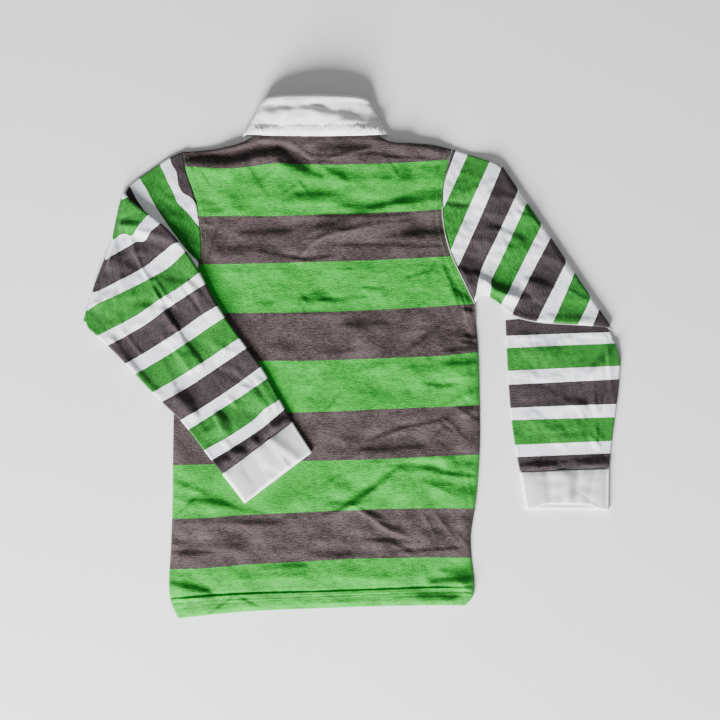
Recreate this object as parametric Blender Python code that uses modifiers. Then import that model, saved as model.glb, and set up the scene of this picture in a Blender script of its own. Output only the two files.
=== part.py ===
"""A child's long-sleeved rugby shirt, laid flat with its back up.

The left sleeve is folded over at the elbow and lies on the back, the right
sleeve is folded under at the elbow. Every piece that is cut and sewn is one
closed cloth wall, 0.3 mm clear of the piece it is sewn to.

Frame: +Z up, z = 0 is the surface that the shirt lies on, +Y runs from the
hem to the collar, the origin is under the middle of the body. The tables are
in millimetres, the meshes in metres.
"""

import math
from typing import Callable, NamedTuple, Sequence

import bmesh
import bpy
import numpy as np

MM = 0.001

# ---------------------------------------------------------------- main sizes
JERSEY = 1.4            # wall of the body and sleeve jersey
COLLAR_WALL = 1.7       # wall of the woven collar
CUFF_WALL = 1.9         # wall of the rib cuffs
SEAM_GAP = 0.3          # clear space between sewn pieces

BODY_CREASE_LIMIT = 3.6     # tallest hollow under the back panel
SIDE_LIP = 2.0              # width of the back panel's edge that turns down
SIDE_LIP_CLEAR = 3.0        # inset of the front panel inside that edge
SIDE_LIP_FLOOR = 0.25       # height of the lip's lower edge
EDGE_ROUND = 4.5            # rounding radius of the side edges
HEM_BAND = 20.0             # turned-up hem, measured from the edge
HEM_RAISE = 0.5             # how much thicker the turned-up hem is

NECK_LIFT_FRONT = 2.6       # the front panel rises over the collar leaves
NECK_LIFT_BACK = 3.5        # the back panel rises over both
NECK_LIFT_Y = (132.0, 152.0)
NECK_LIFT_X = (88.0, 110.0)

SLEEVE_HEIGHT = 3.2         # two layers of jersey and the space between
CUFF_HEIGHT = 4.4
FOLD_INNER = 0.15           # inner radius of the elbow folds
FOLD_AXIS_Z = SLEEVE_HEIGHT + FOLD_INNER
UPPER_LEVEL = FOLD_AXIS_Z + FOLD_INNER      # underside of a folded-over part

COLLAR_CENTRE_X = -6.5
PLACKET_X = (-21.5, 8.5)
PLACKET_Y = (70.0, 191.0)
PLACKET_THICK = 1.6


class Point(NamedTuple):
    """A point of an outline in plan, in millimetres."""

    x: float
    y: float


class Crease(NamedTuple):
    """A soft ridge between two plan points."""

    x0: float
    y0: float
    x1: float
    y1: float
    height: float
    width: float


class Ruling(NamedTuple):
    """A line across a flattened sleeve, from its top edge to its underarm."""

    top_x: float
    top_y: float
    under_x: float
    under_y: float


class CollarRow(NamedTuple):
    """A section of the collar, `across` being the distance from its centre."""

    turn: float         # direction from the stand to the fall, 90 is up
    seam_across: float
    seam_y: float
    seam_z: float
    roll_across: float
    roll_y: float
    roll_z: float
    roll_radius: float
    edge_across: float
    edge_y: float
    edge_z: float
    steps: int          # sections from this row to the next


# ------------------------------------------------------------ body outline
SIDE_LEFT = (
    Point(-151.2, -258.3), Point(-158.6, -241.5), Point(-160.7, -223.7),
    Point(-158.6, -181.7), Point(-157.0, -134.4), Point(-156.5, -81.9),
    Point(-155.4, -29.4), Point(-153.3, 23.1), Point(-149.1, 72.5),
)
SIDE_RIGHT = (
    Point(150.2, -245.2), Point(158.6, -235.2), Point(159.6, -220.5),
    Point(155.9, -177.5), Point(161.7, -134.4), Point(165.4, -81.9),
    Point(165.4, -29.4), Point(163.8, 23.1), Point(159.6, 72.5),
)
ARMHOLE_LEFT = (
    Point(-149.1, 72.5), Point(-135.5, 94.5), Point(-127.1, 122.9),
    Point(-128.6, 154.3), Point(-133.3, 183.8), Point(-141.2, 206.9),
    Point(-147.0, 230.5),
)
ARMHOLE_RIGHT = (
    Point(159.6, 72.5), Point(148.1, 96.6), Point(134.9, 125.0),
    Point(127.1, 157.5), Point(126.5, 184.8), Point(130.2, 210.0),
    Point(136.0, 233.6),
)
HEM = (
    Point(-151.2, -258.3), Point(-117.6, -254.6), Point(-75.6, -251.0),
    Point(0.0, -247.8), Point(81.9, -245.2), Point(123.9, -244.7),
    Point(150.2, -245.2),
)
SHOULDER_LEFT = (
    Point(-147.0, 230.5), Point(-128.1, 232.0), Point(-105.0, 235.0),
    Point(-83.0, 241.0), Point(-63.0, 252.4),
)
NAPE = (
    Point(-63.0, 252.4), Point(-33.6, 250.8), Point(-4.2, 250.4),
    Point(25.2, 250.8), Point(51.0, 252.6),
)
SHOULDER_RIGHT = (
    Point(51.0, 252.6), Point(71.5, 241.4), Point(94.5, 240.0),
    Point(115.5, 238.4), Point(136.0, 233.6),
)
# Neckline of the front, cut out of its panel down to the placket's slot.
NECKLINE = (
    Point(-66.0, 262.0), Point(-61.5, 250.0), Point(-58.0, 232.0),
    Point(-46.0, 213.0), Point(-31.0, 201.0), Point(-21.8, 196.0),
    Point(8.8, 196.0), Point(18.0, 201.0), Point(33.0, 213.0),
    Point(45.0, 232.0), Point(48.5, 250.0), Point(53.0, 262.0),
)

# ------------------------------------------------------------------ creases
BACK_CREASES = (
    Crease(-118, 232, -66, 240, 1.6, 9), Crease(50, 230, 112, 226, 1.8, 9),
    Crease(-118, 222, -70, 222, -1.0, 8), Crease(-12, 128, 30, 148, 2.4, 9),
    Crease(36, 150, 100, 158, 2.0, 9), Crease(-20, 58, 0, 36, 2.0, 8),
    Crease(-24, 90, 14, 74, 1.6, 12), Crease(4, -34, 20, -20, 1.8, 8),
    Crease(104, 6, 124, -14, 1.8, 8), Crease(140, -4, 158, -18, 1.6, 7),
    Crease(64, -92, 78, -60, 2.6, 9), Crease(78, -60, 122, -50, 2.6, 9),
    Crease(112, -76, 128, -60, 2.0, 8), Crease(78, -96, 112, -100, 2.6, 8),
    Crease(112, -100, 156, -106, 2.2, 8), Crease(14, -140, 46, -124, 2.2, 9),
    Crease(46, -124, 78, -106, 1.8, 9), Crease(-150, -145, -130, -128, 1.6, 8),
    Crease(-150, -112, -76, -146, 1.5, 10), Crease(40, -148, 66, -160, 2.2, 9),
    Crease(66, -160, 112, -182, 2.2, 9), Crease(104, -156, 128, -180, 1.6, 8),
    Crease(-140, -176, -152, -190, 1.2, 9), Crease(-60, 176, -30, 196, 1.6, 12),
    Crease(124, 118, 146, 76, 1.8, 8), Crease(-60, -196, 0, -206, 1.2, 12),
    Crease(124, -208, 154, -206, 1.6, 9), Crease(-149, -216, -122, -228, 1.4, 9),
    Crease(30, 60, 110, 52, 1.3, 13), Crease(20, 0, 80, 10, 1.2, 14),
    Crease(-20, -70, 30, -80, 1.3, 13), Crease(60, 196, 100, 186, 1.4, 11),
)
LEFT_SLEEVE_CREASES = (
    Crease(-196, 132, -178, 92, 1.6, 7), Crease(-178, 92, -154, 50, 1.5, 7),
    Crease(-150, 96, -128, 80, 1.4, 7), Crease(-126, 20, -96, 8, 1.2, 7),
    Crease(-104, -40, -70, -30, 1.2, 7), Crease(-214, 100, -198, 78, 1.3, 7),
)
RIGHT_SLEEVE_CREASES = (
    Crease(164, 155, 188, 151, 1.5, 7), Crease(217, 166, 232, 150, 1.6, 7),
    Crease(202, 146, 222, 134, 1.4, 7), Crease(178, 96, 196, 84, 2.0, 6),
    Crease(240, 62, 272, 66, 1.4, 7), Crease(150, 200, 168, 188, 1.2, 8),
    Crease(304, 28, 278, -10, 1.5, 7), Crease(286, -66, 276, -48, 1.3, 7),
    Crease(206, -50, 216, -70, 1.3, 6), Crease(236, -28, 262, -34, 1.0, 9),
)

# ------------------------------------------------------------------ sleeves
LEFT_UPPER_ARM = (
    Ruling(-147.3, 230.6, -149.4, 72.4), Ruling(-160.0, 224.7, -168.0, 68.4),
    Ruling(-172.0, 216.8, -186.0, 65.0), Ruling(-184.0, 208.4, -206.0, 61.0),
    Ruling(-195.0, 201.0, -225.0, 57.0), Ruling(-203.0, 193.4, -240.0, 53.8),
    Ruling(-206.3, 187.0, -247.6, 52.4),
)
LEFT_FOREARM = (
    Ruling(-206.3, 187.0, -247.6, 52.4), Ruling(-200.0, 179.6, -245.0, 46.0),
    Ruling(-190.0, 171.6, -239.0, 40.4), Ruling(-168.0, 155.4, -229.0, 31.6),
    Ruling(-149.1, 135.5, -216.0, 19.0), Ruling(-130.2, 108.2, -203.0, 5.4),
    Ruling(-109.2, 69.3, -186.0, -13.0), Ruling(-86.1, 35.7, -167.0, -32.4),
    Ruling(-63.0, 4.2, -146.0, -53.0), Ruling(-44.1, -29.4, -124.0, -81.6),
    Ruling(-31.5, -51.5, -105.0, -106.1),
)
LEFT_CUFF = (
    Ruling(-31.0, -52.3, -104.5, -106.9), Ruling(-24.6, -62.4, -97.2, -116.4),
    Ruling(-17.6, -73.2, -89.0, -127.0), Ruling(-10.5, -84.0, -81.0, -137.6),
)
RIGHT_UPPER_ARM = (
    Ruling(136.3, 233.6, 159.9, 72.6), Ruling(148.0, 230.0, 170.0, 80.6),
    Ruling(158.0, 226.8, 184.0, 73.0), Ruling(167.0, 223.6, 200.0, 60.0),
    Ruling(174.0, 221.2, 226.0, 53.0), Ruling(181.0, 218.6, 262.0, 50.6),
    Ruling(186.4, 214.2, 300.0, 46.4),
)
RIGHT_FOREARM = (
    Ruling(186.4, 214.2, 300.0, 46.4), Ruling(187.4, 196.0, 304.4, 35.6),
    Ruling(188.8, 166.0, 308.4, 27.4), Ruling(190.0, 130.0, 311.4, 18.4),
    Ruling(191.2, 92.0, 312.8, 10.0), Ruling(192.4, 54.6, 312.0, -4.0),
    Ruling(194.2, 12.0, 310.6, -22.0), Ruling(196.6, -26.0, 307.6, -44.0),
    Ruling(199.6, -58.0, 304.8, -66.0), Ruling(203.2, -82.0, 302.6, -84.0),
    Ruling(207.4, -104.0, 301.4, -100.2),
)
RIGHT_CUFF = (
    Ruling(207.5, -104.8, 301.4, -101.0), Ruling(209.6, -117.6, 301.2, -115.4),
    Ruling(211.8, -131.0, 301.0, -130.2), Ruling(214.2, -143.8, 300.8, -144.9),
)
ARMHOLE_BOW = (1.0, 0.72, 0.42, 0.16, 0.0)      # fades along the upper arm
SLEEVE_LIFT_X = (152.0, 177.0)      # the right sleeve climbs onto its forearm

# ------------------------------------------------------------------- collar
COLLAR_ROWS = (
    CollarRow(90, 0.0, 252.6, 6.6, 0.0, 283.4, 19.6, 3.0, 0.0, 247.2, 8.5, 3),
    CollarRow(90, 30.0, 252.9, 6.6, 29.0, 283.2, 17.2, 2.6, 33.0, 247.2, 8.4, 3),
    CollarRow(72, 52.8, 254.2, 6.5, 48.6, 281.8, 12.6, 1.9, 60.0, 248.2, 8.3, 4),
    CollarRow(0, 54.5, 254.6, 4.85, 55.2, 279.0, 7.3, 1.35, 74.0, 249.0, 5.0, 4),
    CollarRow(-76, 53.0, 249.0, 3.2, 52.6, 267.0, 2.06, 1.2, 77.0, 243.0, 0.88, 3),
    CollarRow(-90, 46.4, 229.0, 3.25, 42.0, 249.0, 2.06, 1.2, 78.0, 208.0, 0.86, 3),
    CollarRow(-90, 27.0, 206.6, 3.25, 23.0, 234.0, 2.06, 1.2, 62.0, 178.0, 0.86, 3),
    CollarRow(-90, 1.0, 199.0, 3.25, 1.0, 226.0, 2.06, 1.2, 44.0, 160.0, 0.86, 0),
)
STAND_STEPS = 3
ROLL_STEPS = 6
FALL_STEPS = 5


# ------------------------------------------------------------------ helpers
def smoothstep(value, low: float, high: float):
    """Blend from 0 at `low` to 1 at `high` with level ends."""
    t = np.clip((np.asarray(value, dtype=float) - low) / (high - low), 0.0, 1.0)
    return t * t * (3.0 - 2.0 * t)


def curve_through(points: Sequence[Sequence[float]], fractions: Sequence[float]) -> np.ndarray:
    """Read a smooth curve through the points at fractions of its length."""
    p = np.array(points, dtype=float)
    p = np.vstack([2 * p[0] - p[1], p, 2 * p[-1] - p[-2]])
    dense = []
    for i in range(1, len(p) - 2):
        knots = [0.0]
        for j in range(i - 1, i + 2):
            knots.append(knots[-1] + max(np.linalg.norm(p[j + 1] - p[j]), 1e-6) ** 0.5)
        k0, k1, k2, k3 = knots
        for t in np.linspace(k1, k2, 24, endpoint=False):
            a1 = (k1 - t) / (k1 - k0) * p[i - 1] + (t - k0) / (k1 - k0) * p[i]
            a2 = (k2 - t) / (k2 - k1) * p[i] + (t - k1) / (k2 - k1) * p[i + 1]
            a3 = (k3 - t) / (k3 - k2) * p[i + 1] + (t - k2) / (k3 - k2) * p[i + 2]
            b1 = (k2 - t) / (k2 - k0) * a1 + (t - k0) / (k2 - k0) * a2
            b2 = (k3 - t) / (k3 - k1) * a2 + (t - k1) / (k3 - k1) * a3
            dense.append((k2 - t) / (k2 - k1) * b1 + (t - k1) / (k2 - k1) * b2)
    dense.append(p[-2])
    dense = np.array(dense)
    length = np.concatenate([[0.0], np.cumsum(np.linalg.norm(np.diff(dense, axis=0), axis=1))])
    wanted = np.asarray(fractions, dtype=float) * length[-1]
    return np.stack([np.interp(wanted, length, dense[:, k]) for k in range(dense.shape[1])], axis=1)


def crease_height(x: np.ndarray, y: np.ndarray, creases: Sequence[Crease]) -> np.ndarray:
    """Sum the soft ridges at the given plan points."""
    total = np.zeros_like(x, dtype=float)
    for c in creases:
        dx, dy = c.x1 - c.x0, c.y1 - c.y0
        along = ((x - c.x0) * dx + (y - c.y0) * dy) / (dx * dx + dy * dy)
        held = np.clip(along, 0.0, 1.0)
        away = np.hypot(x - c.x0 - held * dx, y - c.y0 - held * dy)
        total += c.height * np.exp(-((away / c.width) ** 2))
    return total


def distance_outside(x: np.ndarray, y: np.ndarray, outline: Sequence[Sequence[float]]) -> np.ndarray:
    """Distance to a closed outline in plan, 0 inside it."""
    p = np.array(outline, dtype=float)
    q = np.roll(p, -1, axis=0)
    nearest = np.full(x.shape, 1e9)
    inside = np.zeros(x.shape, dtype=bool)
    for (ax, ay), (bx, by) in zip(p, q):
        dx, dy = bx - ax, by - ay
        t = np.clip(((x - ax) * dx + (y - ay) * dy) / (dx * dx + dy * dy), 0.0, 1.0)
        nearest = np.minimum(nearest, np.hypot(x - ax - t * dx, y - ay - t * dy))
        crosses = (ay > y) != (by > y)
        step = np.where(by == ay, 1e-9, by - ay)
        inside ^= crosses & (x < dx * (y - ay) / step + ax)
    return np.where(inside, 0.0, nearest)


def add_object(name: str, vertices: np.ndarray, faces: Sequence[Sequence[int]],
               group: bpy.types.Collection, material: bpy.types.Material) -> bpy.types.Object:
    """Make one mesh object from points in millimetres."""
    mesh = bpy.data.meshes.new(name)
    mesh.from_pydata([tuple(v) for v in np.asarray(vertices) * MM], [], [tuple(f) for f in faces])
    mesh.materials.append(material)
    mesh.shade_smooth()
    body = bpy.data.objects.new(name, mesh)
    group.objects.link(body)
    return body


def facing_out(body: bpy.types.Object) -> None:
    """Turn the faces of a closed mesh outwards."""
    work = bmesh.new()
    work.from_mesh(body.data)
    bmesh.ops.recalc_face_normals(work, faces=work.faces[:])
    if work.calc_volume(signed=True) < 0:
        bmesh.ops.reverse_faces(work, faces=work.faces[:])
    work.to_mesh(body.data)
    work.free()


def cloth(name: str, colour: tuple, roughness: float) -> bpy.types.Material:
    """A matt cloth in one colour."""
    material = bpy.data.materials.new(name)
    material.use_nodes = True
    shader = material.node_tree.nodes["Principled BSDF"]
    shader.inputs["Base Color"].default_value = (*colour, 1.0)
    shader.inputs["Roughness"].default_value = roughness
    shader.inputs["Metallic"].default_value = 0.0
    material.diffuse_color = (*colour, 1.0)
    return material


# --------------------------------------------------------------- body panels
def neck_lift(x: np.ndarray, y: np.ndarray) -> np.ndarray:
    """How far the panels rise over the collar leaves, 0 to 1."""
    return smoothstep(y, *NECK_LIFT_Y) * (1.0 - smoothstep(np.abs(x - COLLAR_CENTRE_X), *NECK_LIFT_X))


def body_columns() -> np.ndarray:
    """Fractions across the body, fine at the sides, with the neck corners."""
    left = np.array([0.0, 0.0026, 0.0064, 0.0088, 0.018, 0.04, 0.078, 0.118, 0.16, 0.205, 0.25])
    neck = np.linspace(0.297, 0.699, 12)
    right = 1.0 - np.array([0.25, 0.205, 0.16, 0.118, 0.078, 0.04, 0.018, 0.0088, 0.0064, 0.0026, 0.0])
    return np.concatenate([left, neck, right])


def body_rows() -> tuple:
    """Fractions up the sides and up the armholes."""
    sides = np.concatenate([[0.0, 0.006, 0.022, 0.044, 0.062, 0.076], np.linspace(0.11, 0.94, 22), [0.97]])
    return sides, np.linspace(0.0, 1.0, 12)


def body_plan(side_inset: np.ndarray) -> np.ndarray:
    """Blend the outline's four sides into a grid of plan points."""
    u = body_columns()
    sides, armholes = body_rows()
    left = np.vstack([curve_through(SIDE_LEFT, sides), curve_through(ARMHOLE_LEFT, armholes)])
    right = np.vstack([curve_through(SIDE_RIGHT, sides), curve_through(ARMHOLE_RIGHT, armholes)])
    left[:, 0] += side_inset
    right[:, 0] -= side_inset
    bottom = curve_through(HEM, u)
    cut_left, cut_right = 0.297, 0.699
    top = np.vstack([
        curve_through(SHOULDER_LEFT, u[u < cut_left] / cut_left),
        curve_through(NAPE, (u[(u >= cut_left) & (u <= cut_right)] - cut_left) / (cut_right - cut_left)),
        curve_through(SHOULDER_RIGHT, (u[u > cut_right] - cut_right) / (1.0 - cut_right)),
    ])
    underarm = 0.672
    v = np.concatenate([sides * underarm, underarm + armholes * (1.0 - underarm)])
    bottom[:, 0] += side_inset[0] * (1.0 - 2.0 * u)
    top[:, 0] += side_inset[-1] * (1.0 - 2.0 * u)
    uu, vv = u[None, :, None], v[:, None, None]
    return ((1 - uu) * left[:, None, :] + uu * right[:, None, :]
            + (1 - vv) * bottom[None, :, :] + vv * top[None, :, :]
            - (1 - uu) * (1 - vv) * bottom[0] - uu * (1 - vv) * bottom[-1]
            - (1 - uu) * vv * top[0] - uu * vv * top[-1])


def grid_wall(name: str, plan: np.ndarray, lower: np.ndarray, upper: np.ndarray,
              group: bpy.types.Collection, material: bpy.types.Material) -> bpy.types.Object:
    """Close the space between two height grids over the same plan points."""
    rows, columns = lower.shape
    points = np.concatenate([
        np.dstack([plan, lower]).reshape(-1, 3), np.dstack([plan, upper]).reshape(-1, 3)])
    over = rows * columns
    faces = []
    for i in range(rows - 1):
        for j in range(columns - 1):
            a, b, c, d = i * columns + j, i * columns + j + 1, (i + 1) * columns + j + 1, (i + 1) * columns + j
            faces.append((d, c, b, a))
            faces.append((a + over, b + over, c + over, d + over))
    loop = ([j for j in range(columns)]
            + [i * columns + columns - 1 for i in range(1, rows)]
            + [(rows - 1) * columns + j for j in range(columns - 2, -1, -1)]
            + [i * columns for i in range(rows - 2, 0, -1)])
    for a, b in zip(loop, loop[1:] + loop[:1]):
        faces.append((a, b, b + over, a + over))
    body = add_object(name, points, faces, group, material)
    facing_out(body)
    return body


def make_back(group: bpy.types.Collection) -> bpy.types.Object:
    """The back: side edges turned down over the front, hem band, creases."""
    sides, armholes = body_rows()
    plan = body_plan(np.zeros(len(sides) + len(armholes)))
    x, y = plan[..., 0], plan[..., 1]
    row_y = y[:, :1]
    from_left, from_right = x - x[:, :1], x[:, -1:] - x
    from_side = np.minimum(from_left, from_right)
    from_hem = (y - y[:1, :])
    from_top = (y[-1:, :] - y)

    hidden = [Point(r.top_x, r.top_y) for r in LEFT_FOREARM] + [Point(LEFT_CUFF[-1].top_x, LEFT_CUFF[-1].top_y)]
    hidden += [Point(LEFT_CUFF[-1].under_x, LEFT_CUFF[-1].under_y)]
    hidden += [Point(r.under_x, r.under_y) for r in reversed(LEFT_FOREARM)]
    shown = smoothstep(distance_outside(x, y, hidden), 4.0, 20.0)
    inner = smoothstep(from_side, 3.0, 24.0) * smoothstep(from_hem, 14.0, 34.0) * smoothstep(from_top, 3.0, 20.0)
    billow = 0.9 + 0.5 * np.sin(x / 31.0 + 0.7) * np.cos(y / 43.0) + 0.3 * np.sin((x + y) / 19.0)
    relief = np.clip(billow + crease_height(x, y, BACK_CREASES), 0.0, BODY_CREASE_LIMIT) * inner * shown

    lip = smoothstep(-row_y, -54.0, -40.0)
    flat = JERSEY + SEAM_GAP + NECK_LIFT_BACK * neck_lift(x, y)
    lower = flat + relief
    lower = np.where(from_side < SIDE_LIP + 0.05, lower + (SIDE_LIP_FLOOR - lower) * lip, lower)
    upper = flat + JERSEY + relief + HEM_RAISE * (1.0 - smoothstep(from_hem, HEM_BAND - 2.0, HEM_BAND))
    round_off = np.clip(1.0 - from_side / EDGE_ROUND, 0.0, 1.0)
    drop = (1.0 - np.sqrt(1.0 - round_off ** 2)) * lip
    upper = upper - drop * (upper - lower - 1.05)
    return grid_wall("back_panel", plan, lower, upper, group, cloth("back jersey", (0.10, 0.32, 0.09), 0.9))


def make_front(group: bpy.types.Collection, guides: bpy.types.Collection) -> bpy.types.Object:
    """The front: flat on the surface, cut out at the neck and the placket."""
    sides, armholes = body_rows()
    left_y = np.concatenate([curve_through(SIDE_LEFT, sides)[:, 1], curve_through(ARMHOLE_LEFT, armholes)[:, 1]])
    inset = SIDE_LIP_CLEAR * smoothstep(-left_y, -70.0, -57.0)
    plan = body_plan(inset)
    x, y = plan[..., 0], plan[..., 1]
    lower = NECK_LIFT_FRONT * neck_lift(x, y)
    body = grid_wall("front_panel", plan, lower, lower + JERSEY, group, cloth("front jersey", (0.10, 0.30, 0.09), 0.9))

    slot = [(PLACKET_X[0] - SEAM_GAP, PLACKET_Y[0] - SEAM_GAP), (PLACKET_X[1] + SEAM_GAP, PLACKET_Y[0] - SEAM_GAP)]
    left_half = [p for p in NECKLINE if p.x < COLLAR_CENTRE_X]
    right_half = [p for p in NECKLINE if p.x > COLLAR_CENTRE_X]
    outline = [(p.x, p.y) for p in left_half] + slot + [(p.x, p.y) for p in right_half]
    profile = bpy.data.curves.new("neck and placket cut", "CURVE")
    profile.dimensions = "2D"
    profile.fill_mode = "BOTH"
    profile.extrude = 12.0 * MM
    line = profile.splines.new("POLY")
    line.points.add(len(outline) - 1)
    for point, (px, py) in zip(line.points, outline):
        point.co = (px * MM, py * MM, 0.0, 1.0)
    line.use_cyclic_u = True
    flat = bpy.data.objects.new("neck and placket cut", profile)
    guides.objects.link(flat)
    bpy.context.view_layer.update()
    mesh = bpy.data.meshes.new_from_object(flat.evaluated_get(bpy.context.evaluated_depsgraph_get()))
    work = bmesh.new()
    work.from_mesh(mesh)
    bmesh.ops.remove_doubles(work, verts=work.verts[:], dist=1e-5)
    bmesh.ops.recalc_face_normals(work, faces=work.faces[:])
    work.to_mesh(mesh)
    work.free()
    cutter = bpy.data.objects.new("neck and placket cutter", mesh)
    guides.objects.link(cutter)
    bpy.data.objects.remove(flat)
    cutter.hide_render = True
    cutter.display_type = "WIRE"

    cut = body.modifiers.new("Neckline", "BOOLEAN")
    cut.operation = "DIFFERENCE"
    cut.solver = "EXACT"
    cut.object = cutter
    merge = body.modifiers.new("Merge level faces", "DECIMATE")
    merge.decimate_type = "DISSOLVE"
    merge.angle_limit = math.radians(0.05)
    return body


def make_placket(group: bpy.types.Collection) -> bpy.types.Object:
    """The fly placket: a plain strip level with the front panel's outside."""
    width, length = PLACKET_X[1] - PLACKET_X[0], PLACKET_Y[1] - PLACKET_Y[0]
    bpy.ops.mesh.primitive_cube_add(size=1.0, location=(
        (PLACKET_X[0] + PLACKET_X[1]) / 2 * MM, (PLACKET_Y[0] + PLACKET_Y[1]) / 2 * MM, PLACKET_THICK / 2 * MM))
    body = bpy.context.active_object
    body.name = body.data.name = "placket"
    body.scale = (width * MM, length * MM, PLACKET_THICK * MM)
    bpy.ops.object.transform_apply(location=False, rotation=False, scale=True)
    for old in body.users_collection:
        old.objects.unlink(body)
    group.objects.link(body)
    body.data.materials.append(cloth("placket jersey", (0.12, 0.30, 0.10), 0.9))
    rounding = body.modifiers.new("Soft edges", "BEVEL")
    rounding.width = 0.4 * MM
    rounding.segments = 1
    return body


# ------------------------------------------------------------------ sleeves
def tube_section(height: float, wall: float, layer_steps: int, end_steps: int) -> tuple:
    """Outer and inner loop of a flattened tube.

    Each point is (fraction across, distance past that point, height, layer),
    layer being +1 on the far layer, -1 on the near one and 0 on the ends.
    """
    loops = []
    for shrink in (0.0, wall):
        r = height / 2 - shrink
        loop = []
        for w in np.linspace(0.0, 1.0, layer_steps + 1):
            loop.append((w, 0.0, height / 2 + r, 1))
        for a in np.linspace(0.0, math.pi, end_steps + 1)[1:-1]:
            loop.append((1.0, r * math.sin(a), height / 2 + r * math.cos(a), 0))
        for w in np.linspace(1.0, 0.0, layer_steps + 1):
            loop.append((w, 0.0, height / 2 - r, -1))
        for a in np.linspace(0.0, math.pi, end_steps + 1)[1:-1]:
            loop.append((0.0, -r * math.sin(a), height / 2 - r * math.cos(a), 0))
        loops.append(loop)
    return tuple(loops)


def lofted_tube(name: str, rings: Sequence[tuple], group: bpy.types.Collection,
                material: bpy.types.Material) -> bpy.types.Object:
    """Loft a tube wall through (outer loop, inner loop) pairs of points."""
    count = len(rings[0][0])
    points, faces = [], []
    for outer, inner in rings:
        points.extend(outer)
        points.extend(inner)
    for i in range(len(rings) - 1):
        here, there = i * 2 * count, (i + 1) * 2 * count
        for j in range(count):
            k = (j + 1) % count
            faces.append((here + j, here + k, there + k, there + j))
            faces.append((here + count + k, here + count + j, there + count + j, there + count + k))
    for base in (0, (len(rings) - 1) * 2 * count):
        for j in range(count):
            k = (j + 1) % count
            faces.append((base + j, base + k, base + count + k, base + count + j))
    body = add_object(name, np.array(points), faces, group, material)
    facing_out(body)
    return body


def ring_points(ruling: Ruling, loop: Sequence[tuple], inset: float, bow: Callable, place: Callable) -> list:
    """Place a section's loop on one ruling."""
    top, under = np.array(ruling[:2]), np.array(ruling[2:])
    along = (under - top) / np.linalg.norm(under - top)
    start, end = top + along * inset, under - along * inset
    points = []
    for w, past, height, layer in loop:
        plan = start + (end - start) * w + bow(w) + along * past
        points.append(place(plan, height, layer, w))
    return points


def make_sleeve(name: str, upper_arm: Sequence[Ruling], forearm: Sequence[Ruling],
                armhole: Sequence[Point], folded_over: bool, creases: Sequence[Crease],
                group: bpy.types.Collection, material: bpy.types.Material) -> bpy.types.Object:
    """A flattened sleeve with its elbow fold.

    The fold turns the whole tube about the elbow's line: a point at height h
    in the section lies h + FOLD_INNER from that line.
    """
    section = tube_section(SLEEVE_HEIGHT, JERSEY, 11, 4)
    inset = SLEEVE_HEIGHT / 2
    fold = upper_arm[-1]
    fold_line = np.array([fold.under_x - fold.top_x, fold.under_y - fold.top_y])
    outward = np.array([fold_line[1], -fold_line[0]]) / np.linalg.norm(fold_line)
    if (outward[0] > 0) == folded_over:
        outward = -outward
    side = -1.0 if folded_over else 1.0
    seam = curve_through(list(reversed(armhole)), np.linspace(0.0, 1.0, 41))

    def armhole_bow(w: float) -> np.ndarray:
        t = w * 40.0
        i = min(int(t), 39)
        on_seam = seam[i] + (seam[i + 1] - seam[i]) * (t - i)
        return on_seam - (seam[0] + (seam[-1] - seam[0]) * w)

    def relief(plan: np.ndarray, w: float) -> float:
        edge = float(smoothstep(min(w, 1.0 - w), 0.02, 0.16))
        raised = 0.5 + float(crease_height(np.array([plan[0]]), np.array([plan[1]]), creases)[0])
        return max(0.0, min(raised, 2.6)) * edge

    def flat_place(turned: bool, grow: float, climb: float = 1.0) -> Callable:
        def place(plan: np.ndarray, height: float, layer: int, w: float) -> tuple:
            sign = side * (-1.0 if turned else 1.0)
            z = FOLD_AXIS_Z + sign * (FOLD_INNER + height)
            on_top = layer * sign > 0
            if on_top:
                z += relief(plan, w) * grow
            if not folded_over and not turned:
                z -= UPPER_LEVEL * (1.0 - climb * float(smoothstep(plan[0], *SLEEVE_LIFT_X)))
            return (plan[0], plan[1], z)
        return place

    def bend_place(angle: float) -> Callable:
        def place(plan: np.ndarray, height: float, layer: int, w: float) -> tuple:
            radius = FOLD_INNER + height
            moved = plan + outward * radius * math.sin(angle)
            return (moved[0], moved[1], FOLD_AXIS_Z + side * radius * math.cos(angle))
        return place

    def no_bow(w: float) -> np.ndarray:
        return np.zeros(2)

    rings = []
    for i, ruling in enumerate(upper_arm[:-1]):
        share = ARMHOLE_BOW[i] if i < len(ARMHOLE_BOW) else 0.0
        bow = (lambda w, share=share: armhole_bow(w) * share)
        shown = 0.0 if folded_over else (0.25, 0.8, 1.0, 1.0, 1.0, 0.7)[i]
        rings.append(tuple(ring_points(ruling, loop, inset, bow, flat_place(False, shown, (0.0, 0.45, 1.0, 1.0, 1.0, 1.0)[i])) for loop in section))
    for step in range(7):
        angle = math.pi * step / 6
        rings.append(tuple(ring_points(fold, loop, inset, no_bow, bend_place(angle)) for loop in section))
    count = len(forearm)
    for i, ruling in enumerate(forearm[1:], start=1):
        if folded_over:
            shown = min(1.0, i / 3.0) * (0.5 if i == count - 1 else 1.0)
        else:
            shown = (0.0, 0.0, 0.0, 0.0, 0.0, 0.0, 0.6, 1.0, 1.0, 0.8, 0.3)[i]
        rings.append(tuple(ring_points(ruling, loop, inset, no_bow, flat_place(True, shown)) for loop in section))
    return lofted_tube(name, rings, group, material)


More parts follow.
